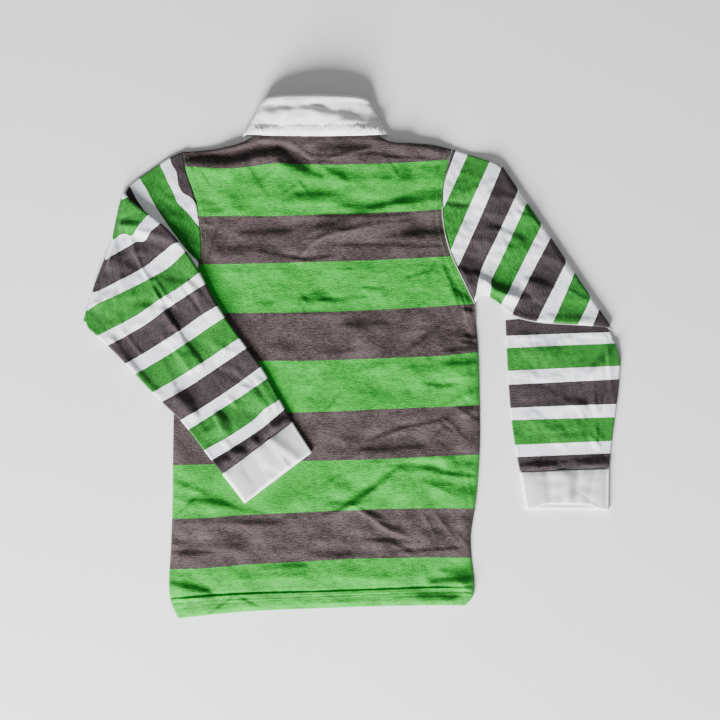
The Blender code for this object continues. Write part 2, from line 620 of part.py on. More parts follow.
def make_cuff(name: str, rulings: Sequence[Ruling], level: float,
              group: bpy.types.Collection, material: bpy.types.Material) -> bpy.types.Object:
    """A rib cuff: a short flattened tube, a little bellied in the middle."""
    section = tube_section(CUFF_HEIGHT, CUFF_WALL, 8, 4)

    def no_bow(w: float) -> np.ndarray:
        return np.zeros(2)

    rings = []
    for i, ruling in enumerate(rulings):
        belly = (0.0, 0.5, 0.6, 0.2)[i]

        def place(plan: np.ndarray, height: float, layer: int, w: float) -> tuple:
            raised = belly * math.sin(math.pi * min(max(w, 0.0), 1.0)) if layer > 0 else 0.0
            return (plan[0], plan[1], level + height + raised)
        rings.append(tuple(ring_points(ruling, loop, CUFF_HEIGHT / 2, no_bow, place) for loop in section))
    return lofted_tube(name, rings, group, material)


# ------------------------------------------------------------------- collar
def level_slopes(rows: np.ndarray) -> np.ndarray:
    """Slopes at the table's rows that never carry a curve past its rows."""
    step = np.diff(rows, axis=0)
    slopes = np.zeros_like(rows)
    product = step[:-1] * step[1:]
    total = step[:-1] + step[1:]
    slopes[1:-1] = np.where(product > 0, 2.0 * product / np.where(total == 0, 1.0, total), 0.0)
    slopes[-1] = step[-1]
    slopes[0, [1, 4, 8]] = step[0, [1, 4, 8]]
    return slopes


def collar_sections() -> list:
    """Mid-surface sections from the left leaf's front edge to the right's."""
    rows = np.array([row[:-1] for row in COLLAR_ROWS], dtype=float)
    slopes = level_slopes(rows)
    fine = [rows[0]]
    for i, row in enumerate(COLLAR_ROWS[:-1]):
        for s in range(1, row.steps + 1):
            t = s / row.steps
            fine.append((2 * t ** 3 - 3 * t * t + 1) * rows[i] + (t ** 3 - 2 * t * t + t) * slopes[i]
                        + (3 * t * t - 2 * t ** 3) * rows[i + 1] + (t ** 3 - t * t) * slopes[i + 1])
    fine = np.array(fine)
    rolls = np.vstack([fine[1, 4:7] * [-1, 1, 1], fine[:, 4:7], 2 * fine[-1, 4:7] - fine[-2, 4:7]])
    half = []
    for row, before, after in zip(fine, rolls[:-2], rolls[2:]):
        turn = math.radians(row[0])
        seam, roll, edge, radius = row[1:4], row[4:7], row[8:11], row[7]
        tangent = (after - before) / np.linalg.norm(after - before)
        across = np.array([math.cos(turn), 0.0, math.sin(turn)])
        across -= tangent * np.dot(across, tangent)
        across /= np.linalg.norm(across)
        bulge = np.cross(across, tangent)
        bulge *= np.sign(np.dot(bulge, roll - seam))
        line = []
        stand_end = roll - across * radius
        for t in np.linspace(0.0, 1.0, STAND_STEPS + 1)[:-1]:
            line.append(seam + (stand_end - seam) * t)
        for a in np.linspace(-math.pi / 2, math.pi / 2, ROLL_STEPS + 1):
            line.append(roll + bulge * radius * math.cos(a) + across * radius * math.sin(a))
        fall_start = roll + across * radius
        for t in np.linspace(0.0, 1.0, FALL_STEPS + 1)[1:]:
            line.append(fall_start + (edge - fall_start) * t)
        half.append(np.array(line))
    left = [np.stack([COLLAR_CENTRE_X - s[:, 0], s[:, 1], s[:, 2]], axis=1) for s in reversed(half)]
    right = [np.stack([COLLAR_CENTRE_X + s[:, 0], s[:, 1], s[:, 2]], axis=1) for s in half[1:]]
    return left + right


def make_collar(group: bpy.types.Collection) -> bpy.types.Object:
    """The collar: stand, rolled fold and fall as one wall round the neck."""
    sections = collar_sections()
    columns = len(sections[0])
    faces = []
    for i in range(len(sections) - 1):
        for j in range(columns - 1):
            a = i * columns + j
            faces.append((a, a + columns, a + columns + 1, a + 1))
    body = add_object("collar", np.vstack(sections), faces, group, cloth("collar twill", (0.86, 0.86, 0.87), 0.85))
    wall = body.modifiers.new("Cloth wall", "SOLIDIFY")
    wall.thickness = COLLAR_WALL * MM
    wall.offset = 0.0
    wall.use_even_offset = True
    wall.use_quality_normals = True
    return body


def main() -> None:
    """Build the shirt's pieces."""
    for old in list(bpy.data.objects):
        bpy.data.objects.remove(old)
    shirt = bpy.data.collections.new("long sleeved polo shirt")
    guides = bpy.data.collections.new("cutters")
    bpy.context.scene.collection.children.link(shirt)
    bpy.context.scene.collection.children.link(guides)

    make_front(shirt, guides)
    make_placket(shirt)
    make_back(shirt)
    sleeve_cloth = cloth("sleeve jersey", (0.80, 0.80, 0.82), 0.9)
    rib = cloth("cuff rib", (0.84, 0.84, 0.86), 0.92)
    make_sleeve("sleeve_left", LEFT_UPPER_ARM, LEFT_FOREARM, ARMHOLE_LEFT, True,
                LEFT_SLEEVE_CREASES, shirt, sleeve_cloth)
    make_sleeve("sleeve_right", RIGHT_UPPER_ARM, RIGHT_FOREARM, ARMHOLE_RIGHT, False,
                RIGHT_SLEEVE_CREASES, shirt, sleeve_cloth)
    make_cuff("cuff_left", LEFT_CUFF, UPPER_LEVEL, shirt, rib)
    make_cuff("cuff_right", RIGHT_CUFF, 0.0, shirt, rib)
    make_collar(shirt)


main()
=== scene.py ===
"""A child's long-sleeved rugby shirt, laid flat with its back up.

The left sleeve is folded over at the elbow and lies on the back, the right
sleeve is folded under at its elbow. Outlines are in millimetres in the model's
frame: +X to the right of the picture, +Y from the hem to the collar, z = 0 is
the surface that the shirt lies on. Stripe edges, creases and folds are picked
on the photo, in its pixels.
"""

import logging
import math
from dataclasses import dataclass
from enum import Enum
from typing import Any, NamedTuple, Optional, Sequence

import bmesh
import bpy
import numpy as np
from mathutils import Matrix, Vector

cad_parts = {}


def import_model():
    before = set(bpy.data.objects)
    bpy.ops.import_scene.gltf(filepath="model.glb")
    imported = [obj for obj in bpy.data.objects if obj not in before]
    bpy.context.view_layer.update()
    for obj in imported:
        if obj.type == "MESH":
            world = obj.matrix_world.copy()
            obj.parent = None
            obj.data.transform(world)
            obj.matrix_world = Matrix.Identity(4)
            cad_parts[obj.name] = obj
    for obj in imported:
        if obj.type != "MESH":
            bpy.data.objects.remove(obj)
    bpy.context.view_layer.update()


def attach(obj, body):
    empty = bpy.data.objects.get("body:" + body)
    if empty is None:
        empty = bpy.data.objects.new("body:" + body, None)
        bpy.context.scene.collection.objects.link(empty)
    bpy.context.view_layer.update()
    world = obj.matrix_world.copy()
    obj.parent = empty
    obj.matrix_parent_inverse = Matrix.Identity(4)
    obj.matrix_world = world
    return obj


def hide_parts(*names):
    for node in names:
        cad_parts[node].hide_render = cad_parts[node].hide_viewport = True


logging.basicConfig(level=logging.INFO, format="%(name)s: %(message)s")
log = logging.getLogger("shirt")

MM = 0.001


# ---------------------------------------------------------------- row types
class Point(NamedTuple):
    """A plan point, in millimetres."""

    x: float
    y: float


class Crease(NamedTuple):
    """A soft ridge, or a trough where `height` is negative.

    It runs from (x0, y0) to (x1, y1), bowed to its left by `bend`, with one
    width for its left flank and one for its right.
    """

    x0: float
    y0: float
    x1: float
    y1: float
    bend: float
    height: float
    left: float
    right: float


class Fold(NamedTuple):
    """A face that falls to the left of its line, as thick as it looks."""

    x0: float
    y0: float
    x1: float
    y1: float
    bend: float
    thick: float
    slope: float


class Ruling(NamedTuple):
    """A line across a flattened sleeve or cuff, from its top edge to its underarm."""

    top_x: float
    top_y: float
    under_x: float
    under_y: float


class CollarRow(NamedTuple):
    """A section of the collar, which `steps` sections join to the next row.

    It stands on its seam, turns over at its roll and falls to its edge, `turn`
    being the way that it faces in degrees and `across` the distance from the
    collar's centre.
    """

    turn: float
    seam_across: float
    seam_y: float
    seam_z: float
    roll_across: float
    roll_y: float
    roll_z: float
    roll_radius: float
    edge_across: float
    edge_y: float
    edge_z: float
    steps: int


def rows_of(kind: type, *rows: tuple) -> tuple:
    """Read a table's rows as rows of a kind, whose fields name its columns."""
    return tuple(kind(*row) for row in rows)


# ------------------------------------------------------------ body outline
SIDE_LEFT = rows_of(
    Point,
    (-151.2, -258.3), (-158.6, -241.5), (-160.7, -223.7), (-158.6, -181.7), (-157.0, -134.4),
    (-156.5, -81.9), (-155.4, -29.4), (-153.3, 23.1), (-149.1, 72.5),
)
SIDE_RIGHT = rows_of(
    Point,
    (150.2, -245.2), (158.6, -235.2), (159.6, -220.5), (155.9, -177.5), (161.7, -134.4), (165.4, -81.9),
    (165.4, -29.4), (163.8, 23.1), (159.6, 72.5),
)
ARMHOLE_LEFT = rows_of(
    Point,
    (-149.1, 72.5), (-135.5, 94.5), (-127.1, 122.9), (-128.6, 154.3), (-133.3, 183.8), (-141.2, 206.9),
    (-147.0, 230.5),
)
ARMHOLE_RIGHT = rows_of(
    Point,
    (159.6, 72.5), (148.1, 96.6), (134.9, 125.0), (127.1, 157.5), (126.5, 184.8), (130.2, 210.0),
    (136.0, 233.6),
)
HEM = rows_of(
    Point,
    (-151.2, -258.3), (-117.6, -254.6), (-75.6, -251.0), (0.0, -247.8), (81.9, -245.2), (123.9, -244.7),
    (150.2, -245.2),
)
SHOULDER_LEFT = rows_of(
    Point,
    (-147.0, 230.5), (-128.1, 232.0), (-105.0, 235.0), (-83.0, 241.0), (-63.0, 252.4),
)
NAPE = rows_of(
    Point,
    (-63.0, 252.4), (-33.6, 250.8), (-4.2, 250.4), (25.2, 250.8), (51.0, 252.6),
)
SHOULDER_RIGHT = rows_of(
    Point,
    (51.0, 252.6), (71.5, 241.4), (94.5, 240.0), (115.5, 238.4), (136.0, 233.6),
)
NECKLINE = rows_of(
    Point,
    (-66.0, 262.0), (-61.5, 250.0), (-58.0, 232.0), (-46.0, 213.0), (-31.0, 201.0), (-21.8, 196.0),
    (8.8, 196.0), (18.0, 201.0), (33.0, 213.0), (45.0, 232.0), (48.5, 250.0), (53.0, 262.0),
)

# ------------------------------------------------------------------ sleeves
LEFT_UPPER_ARM = rows_of(
    Ruling,
    (-147.3, 230.6, -149.4, 72.4), (-160.0, 224.7, -168.0, 68.4), (-172.0, 216.8, -186.0, 65.0),
    (-184.0, 208.4, -206.0, 61.0), (-195.0, 201.0, -225.0, 57.0), (-203.0, 193.4, -240.0, 53.8),
    (-206.3, 187.0, -247.6, 52.4),
)
LEFT_FOREARM = rows_of(
    Ruling,
    (-206.3, 187.0, -247.6, 52.4), (-200.0, 179.6, -245.0, 46.0), (-190.0, 171.6, -239.0, 40.4),
    (-168.0, 155.4, -229.0, 31.6), (-149.1, 135.5, -216.0, 19.0), (-130.2, 108.2, -203.0, 5.4),
    (-109.2, 69.3, -186.0, -13.0), (-86.1, 35.7, -167.0, -32.4), (-63.0, 4.2, -146.0, -53.0),
    (-44.1, -29.4, -124.0, -81.6), (-31.5, -51.5, -105.0, -106.1),
)
LEFT_CUFF = rows_of(
    Ruling,
    (-31.0, -52.3, -104.5, -106.9), (-24.6, -62.4, -97.2, -116.4), (-17.6, -73.2, -89.0, -127.0),
    (-10.5, -84.0, -81.0, -137.6),
)
RIGHT_UPPER_ARM = rows_of(
    Ruling,
    (136.3, 233.6, 159.9, 72.6), (148.0, 230.0, 170.0, 80.6), (158.0, 226.8, 184.0, 73.0),
    (167.0, 223.6, 200.0, 60.0), (174.0, 221.2, 226.0, 53.0), (181.0, 218.6, 262.0, 50.6),
    (186.4, 214.2, 300.0, 46.4),
)
RIGHT_FOREARM = rows_of(
    Ruling,
    (186.4, 214.2, 300.0, 46.4), (187.4, 196.0, 304.4, 35.6), (188.8, 166.0, 308.4, 27.4),
    (190.0, 130.0, 311.4, 18.4), (191.2, 92.0, 312.8, 10.0), (192.4, 54.6, 312.0, -4.0),
    (194.2, 12.0, 310.6, -22.0), (196.6, -26.0, 307.6, -44.0), (199.6, -58.0, 304.8, -66.0),
    (203.2, -82.0, 302.6, -84.0), (207.4, -104.0, 301.4, -100.2),
)
RIGHT_CUFF = rows_of(
    Ruling,
    (207.5, -104.8, 301.4, -101.0), (209.6, -117.6, 301.2, -115.4), (211.8, -131.0, 301.0, -130.2),
    (214.2, -143.8, 300.8, -144.9),
)
SLEEVE_SEAM = (
    (196.4, 62.8, 4.6), (201.6, 58.2, 4.8), (213.0, 55.0, 4.9), (229.0, 52.1, 5.0), (248.0, 50.6, 5.0),
    (271.0, 49.4, 5.0), (287.0, 48.4, 5.0), (299.0, 46.9, 5.0), (304.6, 43.6, 4.6),
)
ARMHOLE_BOW = (1.0, 0.72, 0.42, 0.16, 0.0, 0.0, 0.0)

# ------------------------------------------------------------------- collar
COLLAR_CENTRE_X = -6.5
COLLAR_ROWS = rows_of(
    CollarRow,
    (90, 0.0, 252.6, 6.6, 0.0, 285.8, 19.6, 3.0, 0.0, 247.2, 8.5, 3),
    (90, 30.0, 252.9, 6.6, 29.0, 285.7, 17.2, 2.6, 33.0, 247.2, 8.4, 3),
    (72, 52.8, 254.2, 6.5, 48.6, 284.2, 12.6, 1.9, 60.0, 248.2, 8.3, 4),
    (0, 54.5, 254.6, 4.85, 55.2, 280.6, 7.3, 1.35, 74.0, 249.0, 5.0, 4),
    (-76, 53.0, 249.0, 3.2, 52.6, 267.0, 2.06, 1.2, 77.0, 243.0, 0.88, 3),
    (-90, 46.4, 229.0, 3.25, 42.0, 249.0, 2.06, 1.2, 78.0, 208.0, 0.86, 3),
    (-90, 27.0, 206.6, 3.25, 23.0, 234.0, 2.06, 1.2, 62.0, 178.0, 0.86, 3),
    (-90, 1.0, 199.0, 3.25, 1.0, 226.0, 2.06, 1.2, 44.0, 160.0, 0.86, 0),
)


# --------------------------------------- stripes and creases, in photo pixels
PIXEL = 1.05                        # millimetres that a pixel stands for
ORIGIN_X, ORIGIN_Y = 338.1, 390.6   # millimetres from the photo's top left corner to the frame's origin
DEEPER = 1.3                        # how much deeper than its row a crease is made


def plan_x(pixel: float) -> float:
    """Plan x of a pixel column, in millimetres."""
    return round(pixel * PIXEL - ORIGIN_X, 1)


def plan_y(pixel: float) -> float:
    """Plan y of a pixel row, in millimetres."""
    return round(ORIGIN_Y - pixel * PIXEL, 1)


def sized(pixels: float) -> float:
    """Length on the photo in millimetres, to three digits."""
    return float(f"{pixels * PIXEL:.3g}")


def picked_edges(edges: dict) -> dict:
    """Points (x, y) picked on each stripe edge, by the edge's number."""
    return {line: [(plan_x(x), plan_y(y)) for x, y in points] for line, points in edges.items()}


def picked_creases(*rows: tuple) -> tuple:
    """Creases picked on the photo, whose heights alone are in millimetres."""
    return tuple(Crease(plan_x(x0), plan_y(y0), plan_x(x1), plan_y(y1), sized(bend),
                        round(height * DEEPER, 1), sized(left), sized(right))
                 for x0, y0, x1, y1, bend, height, left, right in rows)


def picked_folds(*rows: tuple) -> tuple:
    """Folds picked on the photo, with their slopes."""
    return tuple(Fold(plan_x(x0), plan_y(y0), plan_x(x1), plan_y(y1), sized(bend), sized(thick), slope)
                 for x0, y0, x1, y1, bend, thick, slope in rows)


BODY_STRIPES = picked_edges({
    0: ((190, 118), (330, 112), (447, 112)),
    1: ((185, 167), (230, 169.5), (275, 164.5), (300, 165), (330, 165.5), (360, 165), (400, 163.5),
        (420, 162.3), (447, 160.2)),
    2: ((200, 216.5), (265, 216.5), (290, 216), (310, 215.5), (330, 214.5), (350, 214.5), (370, 213.7),
        (390, 212.7), (410, 211.7), (442, 209.5)),
    3: ((200, 264.5), (250, 264), (300, 262.7), (350, 261.3), (400, 259.3), (450, 256.5)),
    4: ((232, 313), (280, 312.7), (330, 311.8), (370, 310), (420, 307.5), (466, 304.5)),
    5: ((200, 363), (262, 361), (300, 361), (350, 359.6), (400, 357.5), (440, 356), (478, 352)),
    6: ((200, 414), (289, 412.5), (340, 411), (380, 409), (430, 407), (479, 405)),
    7: ((173, 465), (220, 464), (300, 461), (350, 460), (400, 458), (440, 456), (479, 454.5)),
    8: ((172, 518.5), (205, 517.5), (240, 515), (280, 513), (320, 511), (370, 509), (420, 508), (474, 508)),
    9: ((171, 569), (200, 568), (250, 564), (300, 561.5), (350, 558.5), (400, 557.5), (440, 557),
        (470, 557.5)),
    10: ((171, 622), (250, 618), (350, 612), (470, 609)),
})
LEFT_UPPER_MARKS = picked_edges({
    -1: ((192, 150), (210, 200), (216, 250)),
    0: ((170, 159), (171, 163), (176, 171), (178, 180), (180, 190), (188, 196), (194, 201), (198, 208),
        (204, 219)),
    1: ((160, 165), (165, 175), (170, 186), (174, 193), (176, 200), (181, 206), (188, 213), (194, 220),
        (201, 229), (208, 238)),
    2: ((140, 179), (147, 190), (152, 200), (158, 210), (166, 222), (176, 236), (186, 249), (198, 262)),
    3: ((129, 184), (135, 196), (142, 207), (150, 219), (160, 235), (172, 252), (186, 268)),
    4: ((126, 193), (132, 210), (142, 226), (158, 250), (176, 276)),
    5: ((125, 200), (128, 216), (138, 240), (152, 266), (170, 290)),
    6: ((120, 222), (126, 240), (138, 262), (150, 282)),
    7: ((112, 246), (120, 262), (132, 284)),
    8: ((100, 280), (108, 296), (120, 305)),
    9: ((90, 305), (98, 316), (106, 312)),
})
LEFT_LOWER_MARKS = picked_edges({
    4: ((120, 186), (130, 189)),
    5: ((126, 199), (131, 198)),
    6: ((115, 240), (120, 236), (125, 234), (132, 237), (140, 226), (150, 215)),
    7: ((107, 260), (120, 252), (130, 246), (140, 241), (145, 242), (152, 232), (163, 223)),
    8: ((94, 293), (102, 290), (110, 286), (120, 281), (130, 276), (139, 271), (150, 264), (158, 257),
        (166, 251), (172, 246), (179, 243)),
    9: ((88, 311), (95, 306), (120, 294), (148, 280), (170, 267), (186, 252)),
    10: ((98, 336), (120, 325), (140, 314), (160, 300), (180, 288), (199, 274)),
    11: ((108, 346), (130, 334), (150, 322), (166, 310), (190, 294), (205, 285)),
    12: ((126, 364), (150, 350), (180, 331), (200, 317), (218, 306)),
    13: ((136, 374), (160, 360), (190, 341), (210, 327), (226, 317)),
    14: ((154, 392), (180, 377), (210, 358), (240, 338)),
    15: ((162, 402), (190, 386), (220, 366), (247, 348)),
    16: ((180, 421), (205, 406), (235, 386), (261, 367)),
    17: ((188, 430), (210, 416), (240, 397), (268, 378)),
    18: ((205, 450), (230, 436), (255, 419), (265, 409), (278, 401)),
    19: ((212, 460), (235, 446), (262, 428), (286, 408)),
    20: ((228, 480), (260, 458), (300, 430)),
})
RIGHT_UPPER_MARKS = picked_edges({
    -1: ((440, 140), (430, 190)),
    0: ((456, 150), (449, 169), (442, 188)),
    1: ((468, 154), (455, 183), (442, 211)),
    2: ((490, 161), (470, 205), (450, 252)),
    3: ((502, 166), (480, 218), (457, 269)),
    4: ((517, 193), (498, 234), (480, 273), (476, 294)),
    5: ((525, 206), (508, 244), (491, 280)),
    6: ((540, 228), (523, 262), (508, 292)),
    7: ((549, 240), (530, 276), (513, 311)),
    8: ((566, 262), (551, 292), (537, 320)),
    9: ((574, 273), (563, 299), (552, 323)),
    10: ((591, 296), (585, 310), (578, 323)),
    11: ((599, 308), (596, 316), (592, 325)),
    12: ((613, 328), (611, 336)),
})
RIGHT_LOWER_MARKS = picked_edges({
    3: ((503, 168), (470, 166)),
    5: ((525, 206), (480, 204)),
    7: ((549, 240), (490, 240)),
    9: ((574, 274), (500, 276)),
    11: ((600, 312), (504, 320)),
    12: ((505, 336), (560, 334), (619, 332)),
    13: ((506, 348), (560, 345.5), (620, 343)),
    14: ((507, 371), (560, 368.5), (619, 366)),
    15: ((508, 384.5), (560, 382), (619, 379)),
    16: ((509.5, 408), (560, 406), (616, 404)),
    17: ((510, 420), (560, 418.5), (614, 417)),
    18: ((513, 445), (560, 443), (611, 441)),
    19: ((514, 457), (560, 455), (611, 453)),
    20: ((522, 485), (560, 483), (610, 480)),
})
BACK_CREASES = picked_creases(
    (186, 150.5, 212, 152, -1, 1.6, 2.6, 4), (212, 151.5, 262, 141, -2, 2, 3, 4.5),
    (266, 142, 308, 158, 5, 1.8, 5, 4), (248, 161, 262, 159, 0, 1.2, 3, 4),
    (345, 141, 436, 153, 3, 1.8, 5, 7), (335, 158, 365, 150, 0, 1.2, 2.5, 3),
    (304, 146, 325, 147, 1, 1, 5, 5), (352, 184, 440, 182, 2, 1.3, 10, 12),
    (350, 172, 342, 186, 0, 0.8, 2, 2.2), (290, 205, 330, 204, 0, 1, 6, 6),
    (248, 220, 264, 220, 0, 0.9, 4, 5), (298, 217, 322, 217, 0, 1, 5, 5),
    (304, 254, 322, 239, 1, 2.2, 3.6, 6), (320, 239, 350, 232, 0, 2.2, 4.5, 8),
    (348, 232, 402, 224, 1, 2.2, 5, 8), (400, 217, 442, 213, 0, 0.9, 4, 5),
    (222, 222, 212, 248, -1, -1.1, 2.2, 2.2), (200, 225, 209, 226, 1, 0.9, 2.5, 2.5),
    (430, 270, 437, 260, 0, -1.4, 4, 4), (462, 276, 474, 298, 0, 1.2, 4, 4),
    (340, 272, 378, 274, 1, 0.9, 6, 7), (210, 275, 280, 272, 0, 0.8, 7, 9),
    (323, 315, 352, 315, 0, 1, 5, 5), (413, 332, 424, 331, 0, 0.8, 3, 3),
    (464, 308, 475, 337, -2, 2.9, 2.4, 3), (468, 307, 478, 338, -1, 2.4, 2.2, 2.6),
    (340, 354, 372, 351, 0, 0.8, 4, 5), (290, 316, 322, 317, 0, 0.8, 5, 6),
    (453, 379, 476, 378, 0, 1.4, 6, 6), (455, 402, 476, 392, 0, 0.9, 4, 4),
    (360, 372, 386, 366, 0, 0.7, 4, 5), (280, 384, 308, 386, 0, 0.7, 6, 6),
    (398, 432, 385, 460, 1, 1.1, 2, 2.2), (462, 415, 478, 412, 0, 1.2, 4, 4),
    (449, 424, 461, 436, 0, 1, 3, 3), (306, 430, 340, 440, 0, 0.7, 8, 8), (334, 513, 366, 503, 0, 1, 4, 8),
    (398, 460, 446, 459, 0, 1.2, 5, 5), (426, 484, 440, 490, 0, 0.9, 5, 5),
    (468, 484, 472, 504, 0, 1.2, 5, 3), (176, 500, 192, 506, 1, 1.2, 5, 6),
    (350, 474, 384, 469, 0, 0.9, 7, 8), (361, 511, 385, 527, 0, 1.7, 3, 4),
    (383, 526, 407, 537, 0, 1.5, 3, 4), (425, 518, 432, 530, 0, 1, 2.5, 2.5),
    (440, 520, 455, 540, 0, 1.1, 2.8, 2.8), (460, 538, 472, 552, 0, 1.5, 4, 4),
    (205, 548, 235, 551, 0, 1, 8, 9), (176, 526, 240, 525, 1, 0.9, 6, 9),
    (455, 598, 474, 594, 0, 1.3, 6, 6), (178, 597, 204, 599, 0, 1.2, 4, 5),
    (230, 581, 290, 577, 0, 0.9, 7, 7), (290, 577, 380, 578, 0, 0.8, 8, 7),
    (380, 579, 430, 576, 0, 0.9, 8, 6), (462, 584, 474, 590, 0, 1.2, 4, 5),
)
LEFT_UPPER_CREASES = picked_creases(
    (178, 165, 199, 212, 0, 0.8, 4, 4),
)
LEFT_SLEEVE_CREASES = picked_creases(
    (131, 238, 142, 268, 0, 1.6, 2, 2.4), (142, 266, 160, 298, -1, 2.4, 2.2, 2.6),
    (158, 296, 182, 336, -1, 1.6, 2.4, 2.8), (118, 221, 150, 216, 1, -1.5, 3, 4),
    (116, 226, 144, 232, 1, 1.6, 5, 4), (146, 236, 180, 246, 2, 2.4, 6, 5),
    (150, 244, 166, 252, 0, -2.2, 4, 4), (100, 262, 132, 256, 1, 1.6, 5, 8),
    (148, 281, 164, 300, 0, -2.4, 3, 3), (157, 284, 172, 302, 0, 1.6, 3, 3),
    (172, 270, 190, 280, 0, -2, 4, 5), (160, 283, 178, 274, 0, -1, 4, 4), (90, 312, 104, 326, 0, -2, 4, 4),
    (98, 305, 130, 298, 0, 1.2, 6, 6), (166, 308, 182, 328, 0, -1.8, 3.5, 3.5),
    (190, 285, 200, 305, 0, 1.4, 4, 4), (190, 296, 206, 318, 0, -1, 3, 3),
    (118, 340, 134, 362, 0, -2.2, 4, 4), (128, 338, 144, 358, 0, 1.4, 4, 4),
    (184, 330, 206, 352, 0, -1.6, 5, 5), (170, 345, 190, 370, 0, 1.2, 4, 4),
    (160, 352, 178, 384, 0, -1.2, 3.5, 3.5), (144, 372, 160, 388, 0, -1.8, 5, 5),
    (206, 362, 222, 376, 0, -1.3, 3.5, 3.5), (200, 340, 232, 352, 0, 1.2, 5, 5),
    (216, 372, 244, 382, 0, -1.5, 3, 3), (196, 380, 214, 402, 0, 1.1, 4, 4),
    (186, 388, 200, 412, 0, -1.3, 4, 4), (222, 388, 240, 412, 0, 1.2, 4, 4),
    (244, 368, 262, 372, 0, -1, 3, 3), (236, 396, 252, 416, 0, -1.4, 4, 4),
    (254, 382, 268, 402, 0, -1.5, 3.5, 3.5), (206, 412, 222, 434, 0, -1.6, 5, 5),
    (226, 420, 246, 436, 0, 1.2, 4, 4), (250, 420, 262, 436, 0, -1.8, 4, 4),
    (262, 416, 276, 430, 0, 1.3, 4, 3), (236, 438, 250, 452, 0, -1.6, 4, 4),
    (213, 411, 224, 436, 0, 1.2, 2.2, 3), (237, 399, 252, 415, 0, 1, 2.4, 3.5),
    (214, 446, 236, 462, 0, -1.4, 4, 4), (262, 404, 282, 404, 0, 1, 4, 4),
    (80, 325, 112, 340, -2, 1.2, 4, 4), (108, 345, 140, 374, 0, 1, 4, 4),
)
RIGHT_UPPER_CREASES = picked_creases(
    (476, 222, 502, 228, 0, -1.8, 3, 3), (448, 203, 464, 205, 0, -1.6, 3, 3),
    (470, 212, 500, 216, 0, 1, 5, 5), (526, 212, 545, 230, 0, 1.4, 3, 4),
    (530, 208, 552, 232, 0, -1.2, 3, 3), (512, 234, 534, 244, 0, -1, 3.5, 3.5),
    (456, 257, 482, 266, 1, -2.2, 6, 6), (488, 278, 512, 292, 0, -2, 4, 4),
    (462, 252, 500, 262, 1, 1.4, 6, 6), (548, 308, 584, 316, 1, -2, 4, 5),
    (560, 300, 596, 306, 0, 1.2, 5, 5), (520, 300, 548, 312, 0, -1.4, 4, 4),
    (492, 292, 520, 300, 0, 1.8, 5, 5), (498, 300, 516, 316, 0, -1.8, 3, 3),
    (470, 240, 496, 246, 0, 0.9, 5, 5), (452, 158, 470, 164, 0, -1.2, 3, 3),
    (456, 172, 480, 180, 0, 0.9, 5, 6), (462, 196, 484, 186, 0, 1.2, 4, 5),
    (488, 196, 512, 200, 0, 1, 6, 6), (536, 254, 556, 262, 0, 1, 5, 5), (528, 270, 548, 282, 0, -1.2, 4, 4),
    (554, 280, 578, 288, 0, -1, 4, 4),
)
RIGHT_LOWER_CREASES = picked_creases(
    (584, 388, 616, 342, 1, 1.8, 4, 5), (580, 380, 600, 358, 0, -1.8, 3.5, 3.5),
    (520, 352, 568, 356, 0, 1, 7, 7), (582, 420, 598, 440, 0, -1.6, 3.5, 3.5),
    (514, 424, 530, 442, 0, -1.6, 4, 4), (520, 398, 572, 402, 0, 1, 7, 7),
    (594, 400, 596, 462, 1, 1.4, 2.5, 2.5), (603, 402, 598, 440, 0, -1.2, 2.5, 2.5),
    (512, 378, 540, 384, 0, -0.9, 4, 4), (524, 330, 580, 338, 1, -1.4, 5, 5),
    (508, 336, 520, 352, 0, -1, 4, 4), (560, 430, 590, 424, 0, 1, 5, 5),
    (520, 464, 560, 460, 0, -1.4, 4, 4), (560, 462, 594, 458, 0, 1.2, 4, 4),
    (606, 345, 612, 392, 0, 1.4, 3, 3), (536, 410, 560, 424, 0, -0.9, 4, 4),
    (566, 386, 580, 398, 0, -0.9, 4, 4), (604, 350, 606, 380, 0, -1.2, 2.5, 2.5),
)
COLLAR_CREASES = picked_creases(
    (252, 131, 270, 125, 0, -0.9, 4, 5), (272, 127, 283, 117, 0, 0.7, 3, 3),
    (283, 117, 296, 118, 0, 0.6, 3, 4), (303, 118, 322, 118, 0, 0.6, 3, 4),
    (262, 101, 350, 98, 0, 1.2, 2.5, 5), (330, 124, 346, 119, 0, -0.6, 3, 3),
    (256, 116, 264, 106, 0, 0.7, 3, 4), (300, 124, 318, 121, 0, -0.6, 3, 3),
)
LEFT_CUFF_CREASES = picked_creases(
    (266, 436, 296, 458, 0, 3, 7, 6), (244, 450, 266, 494, 0, -3.2, 9, 9),
    (283, 459, 289, 467, 0, 1.8, 2.4, 2.4), (224, 474, 242, 498, 0, 3, 7, 7),
    (233, 464, 256, 450, 0, 0.8, 6, 6), (296, 424, 310, 449, 0, 0.9, 5, 4),
    (270, 470, 284, 478, 0, -1, 5, 5),
)
RIGHT_CUFF_CREASES = picked_creases(
    (530, 478, 536, 506, 0, 1.2, 7, 7), (546, 474, 552, 502, 0, -1.4, 7, 7),
    (562, 470, 568, 500, 0, 1.1, 7, 6), (578, 478, 577, 500, 0, -1.5, 5, 6),
    (596, 467, 590, 500, -1, -0.9, 2, 2.4), (584, 496, 595, 503, 0, -0.8, 3, 3),
    (600, 470, 602, 505, 0, 0.9, 4, 4),
)
